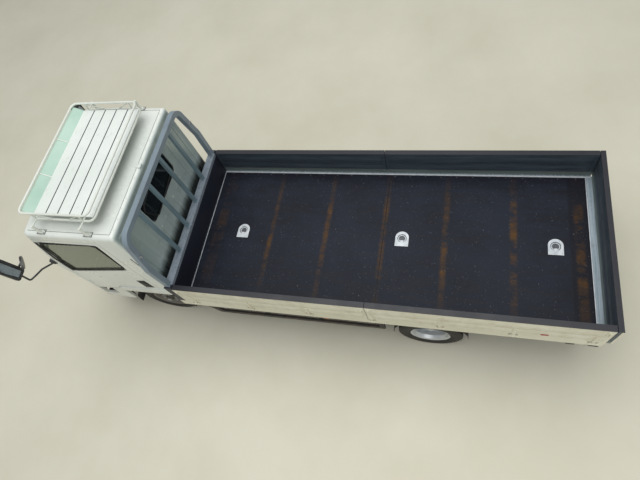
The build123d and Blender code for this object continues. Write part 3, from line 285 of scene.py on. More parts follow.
def gate_finish(name, inner_face, side):
    """Ivory outside; the inside and the top are dark, with a paler foot that is a painted reflection of light
    from the floor.
    """
    n = Nodes(name)
    reach = n.outward() if side else n.axis("Y")
    outside = n.ramp(reach, inner_face, inner_face + 0.001)
    below = n.ramp(n.axis("Z"), 1.2835, 1.2845, 1.0, 0.0)
    ivory = n.mix(n.specks(0.45, 0.75, 0.0, 0.35), ivory_paint(n), rgb(150, 134, 104))
    streak = n.ramp(n.noise(2.0, 6.0, 0.7, (1.0, 1.0, 9.0), 3.0), 0.35, 0.7)
    slate = n.mix(streak, rgb(48, 58, 66), rgb(68, 80, 88))
    # Painted reflection: the inside's foot is paler, for light thrown up from the floor.
    foot = n.times(n.ramp(n.axis("Z"), 0.985, 1.0, 1.0, 0.0), n.ramp(streak, 0.0, 1.0, 0.5, 0.9))
    slate = n.mix(foot, slate, rgb(118, 130, 124))
    slate = n.mix(n.ramp(n.axis("Z"), 1.284, 1.285, 0.0, 0.85), slate, rgb(26, 22, 28))
    rust = n.ramp(n.noise(7.0, 6.0, 0.75, (1, 1, 1), 8.0), 0.6, 0.7, 0.0, 0.5)
    rust = n.times(rust, n.ramp(n.axis("Z"), 0.95, 1.0, 1.0, 0.15))
    slate = n.mix(rust, slate, rgb(96, 76, 40))
    out = n.mix(n.times(outside, below), slate, ivory)
    n.grain()
    n.finish(out, n.gloss(4.0, 4.0, 0.38, 0.55))


def rack_finish():
    """White gloss paint on the boards; the sloping white plate ahead of them is painted pale green as painted
    shade.
    """
    n = Nodes("boards")
    ahead = n.ramp(n.axis("Y"), along(SLOPE_REAR - 4), along(SLOPE_REAR), 1.0, 0.0)
    drift = n.drift(1.6, 4.0)
    white = n.mix(drift, rgb(216, 222, 216), rgb(226, 230, 225))
    # Painted shade: the white sloping plate is painted pale green, as white looks in shade.
    green = n.mix(drift, rgb(158, 190, 172), rgb(178, 206, 190))
    dirt = n.ramp(n.noise(12.0, 7.0, 0.75, (1, 1, 1), 6.0), 0.56, 0.74, 0.0, 0.3)
    out = n.mix(dirt, n.mix(ahead, white, green), rgb(160, 158, 142))
    n.grain(70.0)
    n.finish(out, n.gloss(5.0, 4.0, 0.3, 0.45))


def glass(name, colour, alpha):
    n = Nodes(name)
    n.shader.inputs["Alpha"].default_value = alpha
    n.grain(3.0, 1.0, 0.02)
    n.finish(colour, 0.06, coat=0.5)


def cab_finish():
    """Pale cab paint, with painted shade on the back wall, a darker painted shadow at its foot, and dirt
    gathered low down.
    """
    n = Nodes("cab_paint")
    out = n.mix(n.drift(1.1), rgb(212, 218, 212), rgb(224, 228, 220))
    # Painted shade: the back wall is painted a greener grey, as the pale paint looks in shade.
    back = n.ramp(n.axis("Y"), along(-166), along(-150))
    back_wall_shade = n.ramp(n.noise(2.4, 6.0, 0.7, (1.0, 1.0, 0.35), 2.0), 0.3, 0.7, 0.55, 0.85)
    out = n.mix(n.times(back, back_wall_shade), out, rgb(138, 160, 158))
    # Painted shadow: the back wall darkens towards its foot, where the gap to the bed is in shade.
    foot = n.times(back, n.ramp(n.axis("Z"), 1.3, 1.42, 0.9, 0.0))
    out = n.mix(foot, out, rgb(34, 40, 40))
    low = n.ramp(n.axis("Z"), 0.45, 1.1, 1.0, 0.0)
    out = n.mix(n.times(low, n.specks(0.38, 0.68, 0.05, 0.5)), out, rgb(128, 112, 88))
    n.grain(strength=0.05)
    n.finish(out, n.gloss(4.0, 4.0, 0.24, 0.36), 0.0, 0.3)


def tyre_rubber():
    n = Nodes("tyre")
    dust = n.ramp(n.noise(8.0, 6.0, 0.7), 0.42, 0.7, 0.0, 0.55)
    out = n.mix(dust, rgb(27, 26, 25), rgb(66, 60, 52))
    n.grain(160.0, 3.0, 0.15)
    n.finish(out, n.ramp(dust, 0.0, 0.55, 0.62, 0.85))


cab_finish()
plain("interior_floor", rgb(44, 44, 43), 0.8)
plain("interior_plastic", rgb(70, 72, 72), 0.6)
plain("seat_cloth", rgb(84, 86, 92), 0.9, grain=400.0, depth=0.4)
glass("glass", rgb(26, 32, 34), alpha=0.84)
glass("door_glass", rgb(112, 122, 98), alpha=0.72)
glass("lamp_lens", rgb(214, 216, 208), alpha=0.35)
plain("rear_lens", rgb(150, 24, 20), 0.2)
plain("amber_lens", rgb(206, 116, 30), 0.2)
plain("clear_lens", rgb(206, 208, 204), 0.15)
plain("black_plastic", rgb(34, 34, 34), 0.55)
plain("black_rubber", rgb(26, 26, 27), 0.7)
plain("mirror_plastic", rgb(52, 54, 56), 0.3)
plain("mirror_glass", rgb(150, 160, 172), 0.08, 0.9, 3.0, 0.01, 0.03)
paint("rack_paint", rgb(222, 226, 216), 0.3, rgb(150, 150, 130), 0.15)
rack_finish()
paint("guard_paint", rgb(124, 138, 148), 0.4, rgb(88, 92, 104), 0.45)
paint("bar_paint", rgb(112, 134, 142), 0.4, rgb(88, 96, 92), 0.35)
paint("headboard_paint", rgb(30, 34, 46), 0.5, rgb(52, 54, 62), 0.4)
galvanised()
lashing_finish()
rail_finish()
paint("dusty_rim", rgb(104, 100, 92), 0.5, rgb(58, 50, 42), 0.6)
gate_finish("gate_paint", GATE_COLOUR_X, True)
gate_finish("tail_paint", along(TAIL_COLOUR_Y), False)
steel_floor()
paint("sill_paint", rgb(90, 84, 80), 0.6, rgb(110, 80, 60), 0.5)
paint("chassis_paint", rgb(40, 39, 40), 0.6, rgb(84, 72, 58), 0.35, (0.2, 0.9))
plain("engine_iron", rgb(92, 90, 86), 0.7, 0.4)
plain("spring_steel", rgb(52, 46, 42), 0.7, 0.3)
plain("tank_steel", rgb(112, 112, 110), 0.5, 0.5)
paint("rim_paint", rgb(196, 200, 202), 0.3, rgb(120, 110, 96), 0.25, metal=0.45)
plain("bright_steel", rgb(176, 178, 180), 0.3, 0.7)
tyre_rubber()

slot_of = {row["node"]: row["material_slot"] for row in frame["record"]["subparts"]}

# Nodes whose finish differs from the rest of their slot
OWN_FINISH = {
    "door_glass_left": "door_glass", "door_glass_right": "door_glass", "rack_slats": "boards",
    "lashing_rings": "lashing_zinc", "tailgate": "tail_paint", "side_guards": "chassis_paint",
    "bed_rails": "edge_rails", "front_rim_left": "dusty_rim", "front_rim_right": "dusty_rim",
}

for node_name, node in frame["nodes"].items():
    node.data.materials.clear()
    node.data.materials.append(MATS[OWN_FINISH.get(node_name, slot_of[node_name])])


# Building pieces

SHARP = math.radians(34)
# The slots of finishes that aren't slots themselves, where a piece names none
FINISH_SLOTS = {"black_rubber": "black_plastic", "tail_paint": "gate_paint", "lashing_zinc": "galvanised"}


def add_object(name, data):
    obj = bpy.data.objects.new(name, data)
    bpy.context.scene.collection.objects.link(obj)
    return obj


def round_edges(bm, edges, radius):
    bmesh.ops.bevel(bm, geom=edges, offset=radius, segments=2, affect="EDGES", profile=0.5)


def turned(place, degrees, axis):
    """A matrix that turns about an axis and then moves to a place."""
    return Matrix.Translation(place) @ Matrix.Rotation(math.radians(degrees), 4, axis)


class Shape:
    """A mesh being put together in millimetres, with y = 0 at the bed's front inner face."""

    def __init__(self):
        self.verts = []
        self.faces = []

    def take(self, bm, matrix=None):
        if matrix is not None:
            bmesh.ops.transform(bm, matrix=matrix, verts=bm.verts)
        bm.verts.index_update()
        start = len(self.verts)
        self.verts += [tuple(v.co) for v in bm.verts]
        self.faces += [tuple(start + v.index for v in f.verts) for f in bm.faces]
        bm.free()
        return self

    def block(self, x0, x1, y0, y1, z0, z1, bevel=1.5):
        """A box between two corners with rounded edges."""
        size = (x1 - x0, y1 - y0, z1 - z0)
        bm = bmesh.new()
        bmesh.ops.create_cube(bm, size=1.0, matrix=Matrix.Diagonal((*size, 1.0)))
        if bevel:
            round_edges(bm, bm.edges[:], min(bevel, min(size) / 2.2))
        return self.take(bm, Matrix.Translation(((x0 + x1) / 2, (y0 + y1) / 2, (z0 + z1) / 2)))

    def rod(self, a, b, radius, sides=20, bevel=0.0, tip=None):
        """A round or many-sided bar from a to b; tip is its other radius where it tapers."""
        a, b = Vector(a), Vector(b)
        bm = bmesh.new()
        end, depth = radius if tip is None else tip, (b - a).length
        bmesh.ops.create_cone(bm, cap_ends=True, segments=sides, radius1=radius, radius2=end, depth=depth)
        if bevel:
            rims = [e for e in bm.edges if abs(e.verts[0].co.z - e.verts[1].co.z) < 1e-6]
            round_edges(bm, rims, bevel)
        turn = (b - a).to_track_quat("Z", "Y").to_matrix().to_4x4()
        return self.take(bm, Matrix.Translation((a + b) / 2) @ turn)

    def tube(self, points, radius, sides=10, closed=False, flat=1.0):
        """A round bar along a route of points; flat squeezes it in its second direction."""
        points = [Vector(p) for p in points]
        count = len(points)
        bm = bmesh.new()
        rings = []
        side = None
        for i, p in enumerate(points):
            before = points[i - 1] if i or closed else p
            after = points[(i + 1) % count] if i + 1 < count or closed else p
            ahead = (after - before).normalized()
            if side is None:
                side = ahead.orthogonal().normalized()
            side = (side - ahead * side.dot(ahead)).normalized()
            up = ahead.cross(side)
            ring = []
            for k in range(sides):
                angle = 2 * math.pi * k / sides
                ring.append(bm.verts.new(p + radius * (math.cos(angle) * side + flat * math.sin(angle) * up)))
            rings.append(ring)
        pairs = list(zip(rings, rings[1:])) + ([(rings[-1], rings[0])] if closed else [])
        for one, two in pairs:
            shift = 0
            if closed and one is rings[-1]:
                shift = min(range(sides), key=lambda k: (two[k].co - one[0].co).length)
            for k in range(sides):
                n = (k + 1) % sides
                bm.faces.new((one[k], one[n], two[(n + shift) % sides], two[(k + shift) % sides]))
        if not closed:
            bm.faces.new(rings[0][::-1])
            bm.faces.new(rings[-1])
        return self.take(bm)

    def plate(self, corners, thick, bevel=0.0):
        """A flat plate: its corners in order and its thickness as a vector."""
        bm = bmesh.new()
        low = [bm.verts.new(c) for c in corners]
        high = [bm.verts.new(Vector(c) + Vector(thick)) for c in corners]
        bm.faces.new(low[::-1])
        bm.faces.new(high)
        for k in range(len(low)):
            n = (k + 1) % len(low)
            bm.faces.new((low[k], low[n], high[n], high[k]))
        if bevel:
            round_edges(bm, bm.edges[:], bevel)
        return self.take(bm)

    def band(self, outer, inner, thick):
        """A flat closed band between two routes of equally many points."""
        count = len(outer)
        bm = bmesh.new()
        loops = []
        for route, shift in ((outer, (0, 0, 0)), (inner, (0, 0, 0)), (outer, thick), (inner, thick)):
            loops.append([bm.verts.new(Vector(p) + Vector(shift)) for p in route])
        for k in range(count):
            n = (k + 1) % count
            o, i, o2, i2 = loops
            bm.faces.new((o[k], o[n], i[n], i[k]))
            bm.faces.new((o2[k], i2[k], i2[n], o2[n]))
            bm.faces.new((o[k], o2[k], o2[n], o[n]))
            bm.faces.new((i[k], i[n], i2[n], i2[k]))
        return self.take(bm)

    def lathe(self, profile, place, steps=64, cut=None):
        """A closed profile of (radius, offset) turned about +Z of a matrix; cut changes a step's radii."""
        bm = bmesh.new()
        rings = []
        for k in range(steps):
            turn = 2 * math.pi * k / steps
            c, s = math.cos(turn), math.sin(turn)
            ring = [(cut(k, r, h), h) for r, h in profile] if cut else profile
            rings.append([bm.verts.new((r * c, r * s, h)) for r, h in ring])
        count = len(profile)
        for k in range(steps):
            one, two = rings[k], rings[(k + 1) % steps]
            for j in range(count):
                n = (j + 1) % count
                if (one[j].co - one[n].co).length > 1e-6:
                    bm.faces.new((one[j], two[j], two[n], one[n]))
        bmesh.ops.remove_doubles(bm, verts=bm.verts, dist=1e-4)
        return self.take(bm, place)

    def bolt(self, place, out, size):
        """A washer and a hexagon head standing out from a surface."""
        place, out = Vector(place), Vector(out).normalized()
        self.rod(place - out, place + out * 0.18 * size, size * 1.05, 20, 0.3)
        return self.rod(place, place + out * 0.75 * size, size * 0.8, 6, 0.6)

    def screw(self, place, out, size):
        """A low round head."""
        place, out = Vector(place), Vector(out).normalized()
        return self.rod(place - out, place + out * size * 0.4, size, 14, size * 0.25, size * 0.75)

    def mirrored(self):
        """The same shape on the truck's other side."""
        other = Shape()
        other.verts = [(-x, y, z) for x, y, z in self.verts]
        other.faces = [face[::-1] for face in self.faces]
        return other

    def pair(self, *named):
        """Makes one piece of the shape and its mirror image."""
        other, start = self.mirrored(), len(self.verts)
        self.verts += other.verts
        self.faces += [tuple(start + k for k in face) for face in other.faces]
        return self.done(*named)

    def done(self, name, mat, body, slot=None):
        """Makes the piece with its finish, on the body that it rides on."""
        mesh = bpy.data.meshes.new(name)
        mesh.from_pydata([at(*v) for v in self.verts], [], self.faces)
        bm = bmesh.new()
        bm.from_mesh(mesh)
        bmesh.ops.recalc_face_normals(bm, faces=bm.faces)
        bm.to_mesh(mesh)
        bm.free()
        mesh.shade_smooth()
        mesh.set_sharp_from_angle(angle=SHARP)
        mesh.materials.append(MATS[mat])
        obj = add_object(name, mesh)
        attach(obj, body)
        slot or FINISH_SLOTS.get(mat, mat)
        return obj


def rounded(corners, radius, steps=6):
    """A closed route through flat corners, with arcs of one radius and more points on its long runs."""
    points = [Vector(c) for c in corners]
    route = []
    for i, corner in enumerate(points):
        one = (points[i - 1] - corner).normalized()
        two = (points[(i + 1) % len(points)] - corner).normalized()
        half = one.angle(two) / 2
        reach = radius / math.tan(half)
        centre = corner + (one + two).normalized() * radius / math.sin(half)
        start, end = corner + one * reach, corner + two * reach
        if route:
            route += between(route[-1], start)
        for k in range(steps + 1):
            route.append(centre + (start - centre).slerp(end - centre, k / steps))
    return route + between(route[-1], route[0])


def between(a, b, pitch=60.0):
    count = max(1, round((b - a).length / pitch))
    return [a.lerp(b, k / count) for k in range(1, count)]


def shrunk(route, centre, amount):
    """The route moved in towards a centre by about an amount."""
    centre = Vector(centre)
    return [p + (centre - p).normalized() * amount for p in route]


def side_x(z):
    """How far out the cab's side stands at a height."""
    if z < CAB_BELT_Z:
        return CAB_LOW_X + (CAB_BELT_X - CAB_LOW_X) * (z - CAB_LOW_Z) / (CAB_BELT_Z - CAB_LOW_Z)
    return CAB_BELT_X + (CAB_ROOF_X - CAB_BELT_X) * (z - CAB_BELT_Z) / (CAB_ROOF_Z - CAB_BELT_Z)


def front_y(x, z):
    """Where the cab's bowed front stands."""
    if z < CAB_BELT_Z:
        share = (z - CAB_LOW_Z) / (CAB_BELT_Z - CAB_LOW_Z)
        face, nose = CAB_LOW_Y + (CAB_BELT_Y - CAB_LOW_Y) * share, NOSE_R
    else:
        share = (z - CAB_BELT_Z) / (CAB_ROOF_Z - CAB_BELT_Z)
        face, nose = CAB_BELT_Y + (CAB_ROOF_Y - CAB_BELT_Y) * share, NOSE_R + (PILLAR_R - NOSE_R) * share
    half = side_x(z)
    bow = face + CAB_BOW * (x / half) ** 2
    into = abs(x) - (half - nose)
    if into > 0:
        bow += nose - math.sqrt(max(nose * nose - into * into, 0.0))
    return bow


# Roof rack and roof

def rack_details():
    # Painted shadow: black strips under the deck's gaps stand in for the shade beneath the boards.
    strips = Shape()
    for n in range(1, 5):
        y = SLOPE_REAR + n * SLAT_PITCH
        strips.block(-664, 664, y - SLAT_GAP - 1.5, y + 1.5, RACK_DECK - 8, RACK_DECK + 0.6, 0.5)
    strips.done("rack_gap_shadow_strips", "black_rubber", "cab")
    heads = Shape()
    for n in range(5):
        for x in (-640, -400, 0, 400, 640):
            for y in (-1016, -944):
                heads.screw((x, y + n * SLAT_PITCH, RACK_DECK), UP, 4.5)
    for x in (-222, 222):
        low, high = (SLOPE_REAR, RACK_DECK + 0.5), (-1143, 2451)
        heads.plate([(x - 5, *low), (x + 5, *low), (x + 5, *high), (x - 5, *high)], (0, 0, 2.5), 0.8)
    heads.done("rack_screws", "rack_paint", "cab")
    bolts, pads, braces = Shape(), Shape(), Shape()
    foot_top = CAB_ROOF_Z + 6
    for x in (-795, 795):
        x0, x1 = x - 30, x + 14
        for y in (RACK_FRONT_FOOT, RACK_REAR_FOOT):
            pads.block(x0 - 5, x1 + 5, y - 50, y + 50, CAB_ROOF_Z + 0.2, CAB_ROOF_Z + 3.5, 1.0)
            for bolt_x in (x0 + 9, x1 - 9):
                for dy in (-34, 34):
                    bolts.bolt((bolt_x, y + dy, foot_top), UP, 7.5)
            braces.rod((x, y, foot_top), (x, y, foot_top + 12), 17, 24, 2.0, 14)
    for x in (-700, 700):
        for y0, y1 in ((RACK_FRONT_FOOT, -800), (RACK_REAR_FOOT, -600)):
            braces.tube([(x, y0, 2452), (x, (y0 + y1) / 2, 2414), (x, y1, 2380)], 5.5, 10)
    pads.done("rack_foot_pads", "black_rubber", "cab")
    bolts.done("rack_foot_bolts", "bright_steel", "cab", "rack_paint")
    braces.done("rack_braces", "rack_paint", "cab")


def roof_details():
    seam = Shape()
    top = CAB_ROOF_Z
    seam.block(-778, 778, -199.5, -196.0, top - 1, top + 1.2, 0.4)
    for x in (-778, 778):
        seam.block(x - 2, x + 2, -1200, -197, top - 1, top + 1, 0.4)
    seam.done("roof_seam", "black_rubber", "cab")
    heads = Shape()
    for n in range(13):
        heads.screw((-720 + n * 120, -178, top), UP, 6.0)
    heads.block(-58, -6, -215, -150, top, top + 7, 1.5)
    for x in (-46, -18):
        heads.bolt((x, -182, top + 7), UP, 6.0)
    for x in (-560, -280, 0, 280, 560):
        heads.block(x - 22, x + 22, -318, -232, top - 1.5, top + 2, 1.6)
    heads.done("roof_screws", "cab_paint", "cab")


def cab_back_details():
    seal = Shape()
    y = CAB_BACK_Y + 1
    route = rounded([(-366, y, 1711), (366, y, 1711), (366, y, 2075), (-366, y, 2075)], 71)
    seal.tube(route, 9, 10, True, 0.7)
    for x in (-690, 690):
        seal.tube([(x, -152, 1180), (x, -149, 1300)], 6, 8)
    seal.done("rear_window_seal", "black_rubber", "cab")
    flange = Shape()
    for z in (2150, 905):
        flange.block(-770, 770, -152, -146, z - 9, z + 9, 2.0)
    for x in (-640, -320, 0, 320, 640):
        for z in (2150, 905):
            flange.screw((x, -146, z), (0, 1, 0), 6.0)
    flange.done("cab_back_flanges", "cab_paint", "cab")
    vent = Shape()
    for side in (-1, 1):
        x0, x1 = sorted((side * 834, side * (side_x(1730) - 1.5)))
        vent.block(x0, x1, -231, -215, 1642, 1818, 0.5)
    vent.done("pillar_vents", "black_rubber", "cab")


# Doors, drawn on the left

DOOR_WINDOW = ((-1322, 1322), (-1300, 1680), (-1206, 2088), (-447, 2088), (-484, 1478))
WINDOW_MIDDLE = (0, -880, 1740)
# The window's front edge, which a black garnish widens
FRONT_PANE = ((-1320, 1330), (-1314, 1440), (-1300, 1680), (-1212, 2074))
HANDLE = ((-582, 1160), (-462, 1180), (-446, 962), (-574, 944))
PULL = ((-560, 1128), (-476, 1142), (-470, 1070), (-556, 1058))
LOCK = (-518, 1000)


def on_side(y, z, proud=0.0):
    return Vector((side_x(z) + proud, y, z))


def door_shapes():
    """Each door piece on the left: name, finish, slot and shape."""
    route = rounded([(0, y, z) for y, z in DOOR_WINDOW], 30)
    seal = Shape().tube([on_side(p.y, p.z, 0.5) for p in route], 8, 10, True, 0.6)
    outer, inner = ([on_side(p.y, p.z, -9) for p in shrunk(route, WINDOW_MIDDLE, by)] for by in (8, 34))
    seal.band(outer, inner, (1.5, 0, 0))
    for (y, z), (next_y, next_z) in zip(FRONT_PANE, FRONT_PANE[1:]):
        strip = ((y, z), (y - 42, z), (next_y - 42, next_z), (next_y, next_z))
        seal.plate([on_side(*corner, -2.5) for corner in strip], (3.2, 0, 0), 0.8)
    yield "window_seal", "black_rubber", "black_plastic", seal
    grip = Shape()
    grip.plate([on_side(y, z, -3.5) for y, z in HANDLE], (5.5, 0, 0), 1.5)
    grip.plate([on_side(y, z, 2.0) for y, z in PULL], (8.0, 0, 0), 2.5)
    grip.rod(on_side(*LOCK), on_side(*LOCK, 6), 13, 24, 1.5)
    yield "handle", "black_plastic", "black_plastic", grip
    lock = Shape().rod(on_side(*LOCK, 5), on_side(*LOCK, 8), 7, 20, 0.8)
    lock.block(847.5, 851, -519.5, -516.5, 995, 1005, 0.5)
    yield "lock", "bright_steel", "cab_paint", lock
    trim = Shape()
    panel = [(788, -1300, 940), (788, -1310, 1270), (788, -470, 1290), (788, -450, 940)]
    trim.plate(panel, (5.0, 0, 0), 2.0)
    trim.block(752, 790, -1010, -560, 1128, 1166, 12.0)
    trim.block(776, 790, -1160, -1060, 1180, 1222, 6.0)
    trim.rod((788, -900, 1040), (776, -900, 1040), 22, 24, 3.0)
    trim.tube([(776, -900, 1040), (762, -900, 1042), (760, -850, 1075)], 7, 10)
    yield "inner_trim", "interior_plastic", "interior_plastic", trim


def door_details():
    for name, finish, slot_name, shape in door_shapes():
        for side, sign in SIDES:
            whole = shape if sign > 0 else shape.mirrored()
            whole.done(f"door_{side}_{name}", finish, f"door_{side}", slot_name)


# Cab front

def front_details():
    seal = Shape()
    route = rounded([(-722, 0, 1462), (722, 0, 1462), (676, 0, 2106), (-676, 0, 2106)], 70)
    seal.tube([(p.x, front_y(p.x, p.z) - 0.5, p.z) for p in route], 9, 10, True, 0.7)
    seal.done("windscreen_seal", "black_rubber", "cab")
    wipers = Shape()
    for pivot_x, tip_x in ((-560, -60), (60, 560)):
        pivot = Vector((pivot_x, front_y(pivot_x, 1440) - 8, 1440))
        middle = Vector(((pivot_x + tip_x) / 2, 0, 1482))
        middle.y = front_y(middle.x, middle.z) - 24
        wipers.rod(pivot + Vector((0, 10, 0)), pivot + Vector((0, -8, 0)), 15, 20, 2.0, 12)
        wipers.tube([pivot + Vector((0, -4, 0)), (pivot + middle) / 2 + Vector((0, -6, 6)), middle], 5, 8)
        blade = []
        for k in range(9):
            x, z = tip_x - 460 + 60 * k, 1474 + 2 * k
            blade.append((x, front_y(x, z) - 14, z))
        wipers.tube(blade, 5.5, 8)
        wipers.tube([Vector(p) + Vector((0, 7, 0)) for p in blade], 2.5, 6)
    wipers.done("wipers", "black_plastic", "cab")
    mesh = Shape()
    for k in range(12):
        x0 = -480 + 80 * k
        y = front_y(x0 + 40, 909) + 40
        mesh.block(x0, x0 + 80, y, y + 4, 846, 972, 0)
    for z in (868, 893, 918, 943):
        for k in range(9):
            x = -440 + 110 * k
            y = front_y(x, z) + 22
            mesh.block(x - 2.5, x + 2.5, y, y + 24, z - 8, z + 8, 0.5)
    mesh.done("grille_mesh", "black_rubber", "cab")
    lamp_details()
    bumper = Shape()
    for x in (-600, -300, 300, 600):
        y = -1654 + CAB_BOW * (x / CAB_BELT_X) ** 2 + (6 if abs(x) > 590 else 0)
        bumper.bolt((x, y, 735), (0, -1, 0), 7.0)
    bumper.block(-246, 246, -1632, -1626, 524, 596, 0.8)
    for x in range(-225, 226, 45):
        bumper.block(x - 3, x + 3, -1640, -1628, 526, 594, 1.0)
    bumper.done("bumper_grille", "black_plastic", "chassis")


LAMP_OUTLINE = ((530, 856), (764, 874), (780, 998), (552, 974))


def lamp_details():
    """Reflectors and bulbs inside each headlamp, with an amber lamp at its outer end."""
    bowl, amber, rim = Shape(), Shape(), Shape()
    for x, z, radius in ((598, 918, 46), (694, 928, 42)):
        y = front_y(x, z)
        profile = [(3, 0), (radius * 0.6, 4), (radius * 0.86, 14), (radius, 30), (radius + 3, 30),
                   (radius + 2, -2), (3, -3)]
        bowl.lathe(profile, turned((x, y + 44, z), 90, "X"), 40)
        bowl.rod((x, y + 42, z), (x, y + 18, z), 7, 16, 1.5)
    # each corner's x and z, and the x where the cab's face gives its depth
    corners = ((744, 878, 750), (768, 884, 772), (776, 986, 776), (752, 984, 752))
    amber.plate([(x, front_y(face_x, 930) + 12, z) for x, z, face_x in corners], (0, 16, 0), 3.0)
    route = rounded([(x, 0, z) for x, z in LAMP_OUTLINE], 18, 4)
    rim.tube([(p.x, front_y(p.x, p.z) + 4, p.z) for p in route], 5, 8, True)
    bowl.pair("headlamp_bowls", "bright_steel", "cab", "lamp_lens")
    amber.pair("headlamp_ambers", "amber_lens", "cab", "lamp_lens")
    rim.pair("headlamp_rims", "black_plastic", "cab")


def mirror_details():
    """Mirror glasses with their gaskets, on the faces that look back."""
    glass_plate, gasket = Shape(), Shape()
    lean = turned((1070, -1700, 1650), 5, "Y")
    route = rounded([(-66, 20.5, 12), (66, 20.5, 12), (66, 20.5, 348), (-66, 20.5, 348)], 26, 5)
    placed = [lean @ p for p in route]
    glass_plate.plate(placed, (0, 1.2, 0))
    gasket.tube(placed, 4.0, 8, True)
    glass_plate.pair("mirror_glasses", "mirror_glass", "cab", "mirror_plastic")
    gasket.pair("mirror_gaskets", "black_rubber", "cab", "mirror_plastic")
    clamps = Shape()
    for z in (1655, 1690):
        clamps.block(1052, 1088, -1728, -1690, z, z + 14, 3.0)
    clamps.bolt((1070, -1728, 1697), (0, -1, 0), 5.0)
    clamps.block(846, 862, -1462, -1414, 1534, 1592, 4.0)
    clamps.pair("mirror_clamps", "black_plastic", "cab", "mirror_plastic")


# Cab inside

def inside_details():
    dash = Shape()
    dash.block(-560, -220, -1262, -1240, 1300, 1392, 10.0)
    for x in (-690, -120, 120, 690):
        dash.block(x - 52, x + 52, -1246, -1232, 1316, 1352, 4.0)
    dash.block(180, 640, -1240, -1231, 1190, 1290, 6.0)
    dash.block(-60, 60, -1240, -1230, 1170, 1300, 5.0)
    dash.done("dash_fittings", "black_plastic", "cab", "interior_plastic")
    column = Shape()
    for middle_x, end_x in ((-470, -540), (-310, -240)):
        column.tube([(-390, -1185, 1330), (middle_x, -1180, 1338), (end_x, -1176, 1346)], 7, 10)
    column.done("column_stalks", "black_plastic", "cab", "interior_plastic")


CUSHIONS = [
    # name, x0, x1
    ("driver", -700, -200),
    ("passenger", -150, 700),
]
CUSHION_PROFILE = [(-850, 1052), (-850, 1158), (-800, 1176), (-440, 1168), (-384, 1160), (-384, 1052)]
BACK_PROFILE = [(-424, 1200), (-345, 1200), (-240, 1770), (-296, 1786), (-322, 1770)]


def seat_pieces():
    """Cushion and back of each seat as stuffed cloth, in the space of their solids."""
    made = []
    for name, x0, x1 in CUSHIONS:
        for part, profile in (("cushion", CUSHION_PROFILE), ("back", BACK_PROFILE)):
            shape = Shape().plate([(x0 + 14, y, z) for y, z in profile], (x1 - x0 - 28, 0, 0), 18.0)
            obj = shape.done(f"seat_{name}_{part}", "seat_cloth", "cab")
            made.append(stuffed(obj))
    for obj in made:
        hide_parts("seats")
    piping = Shape()
    for _, x0, x1 in CUSHIONS:
        for x in (x0 + 30, x1 - 30):
            piping.tube([(x, -820, 1184), (x, -640, 1187), (x, -450, 1183)], 3.0, 8)
            piping.tube([(x, -412, 1290), (x, -360, 1560), (x, -326, 1730)], 3.0, 8)
    piping.done("seat_piping", "black_plastic", "cab", "seat_cloth")


# The stuffing's grid and its furthest move, in metres, its pressure and its frames
CLOTH_VOXEL, CLOTH_CAP = 0.008, 0.012
CLOTH_PRESSURE, CLOTH_FRAMES = 4.0, 20


def stuffed(obj):
    """Fills a closed cloth form by a short cloth simulation with its movement capped."""
    bpy.context.view_layer.objects.active = obj
    for other in bpy.context.selected_objects:
        other.select_set(False)
    obj.select_set(True)
    remesh = obj.modifiers.new("remesh", "REMESH")
    remesh.mode = "VOXEL"
    remesh.voxel_size = CLOTH_VOXEL
    bpy.ops.object.modifier_apply(modifier=remesh.name)
    rest = [v.co.copy() for v in obj.data.vertices]
    cloth = obj.modifiers.new("cloth", "CLOTH")
    cloth.settings.use_pressure = True
    cloth.settings.uniform_pressure_force = CLOTH_PRESSURE
    cloth.settings.effector_weights.gravity = 0.0
    scene = bpy.context.scene
    for number in range(1, CLOTH_FRAMES + 1):
        scene.frame_set(number)
    bpy.ops.object.modifier_apply(modifier=cloth.name)
    for v, start in zip(obj.data.vertices, rest):
        move = v.co - start
        if move.length > CLOTH_CAP:
            v.co = start + move.normalized() * CLOTH_CAP
    scene.frame_set(1)
    obj.data.shade_smooth()
    return obj


# Wheels

TYRE_WIDTH, TYRE_R = 186.0, 356.0
RIM_R, RIM_SEAT_R, BEAD = 220.0, 203.0, 67.0
GROOVES = (-58, -21, 21, 58)
TREAD_STEPS = 216


def tyre_section():
    """(radius, offset) round a tyre, dense over its tread."""
    half = TYRE_WIDTH / 2
    one_side = [(RIM_SEAT_R, BEAD), (RIM_R + 6, BEAD + 6), (RIM_R + 22, half - 8),
                (RIM_R + 50, half), (RIM_R + 78, half),
                (TYRE_R - 40, half - 4), (TYRE_R - 22, half - 10), (TYRE_R - 6, half - 20)]
    tread = []
    for k in range(37):
        offset = 72 - 4 * k
        deep = any(abs(offset - groove) < 5 for groove in GROOVES)
        tread.append((TYRE_R - (9 if deep else 0) - 2.5 * (offset / 72) ** 4, offset))
    return one_side + tread + [(r, -h) for r, h in reversed(one_side)]


def tread_radius(step, radius, offset):
    """The radius with the blocks' cross grooves taken out, slanted across the tread."""
    if radius < TYRE_R - 12 or abs(offset) < 25:
        return radius
    phase = (step + 3 * (offset > 0)) % 6
    return radius - 7.5 if phase == 0 else radius


# Each end's tyre node, axle, wheels' places out, and its nuts' places out, circles and sizes
WHEELS = [
    ("front", "front_tyre", FRONT_AXLE_Y, (695,), ((761, 98, 16.0),)),
    ("rear", "rear_tyres", REAR_AXLE_Y, (816, 610), ((725, 98, 16.0), (841, 34, 6.0))),
]


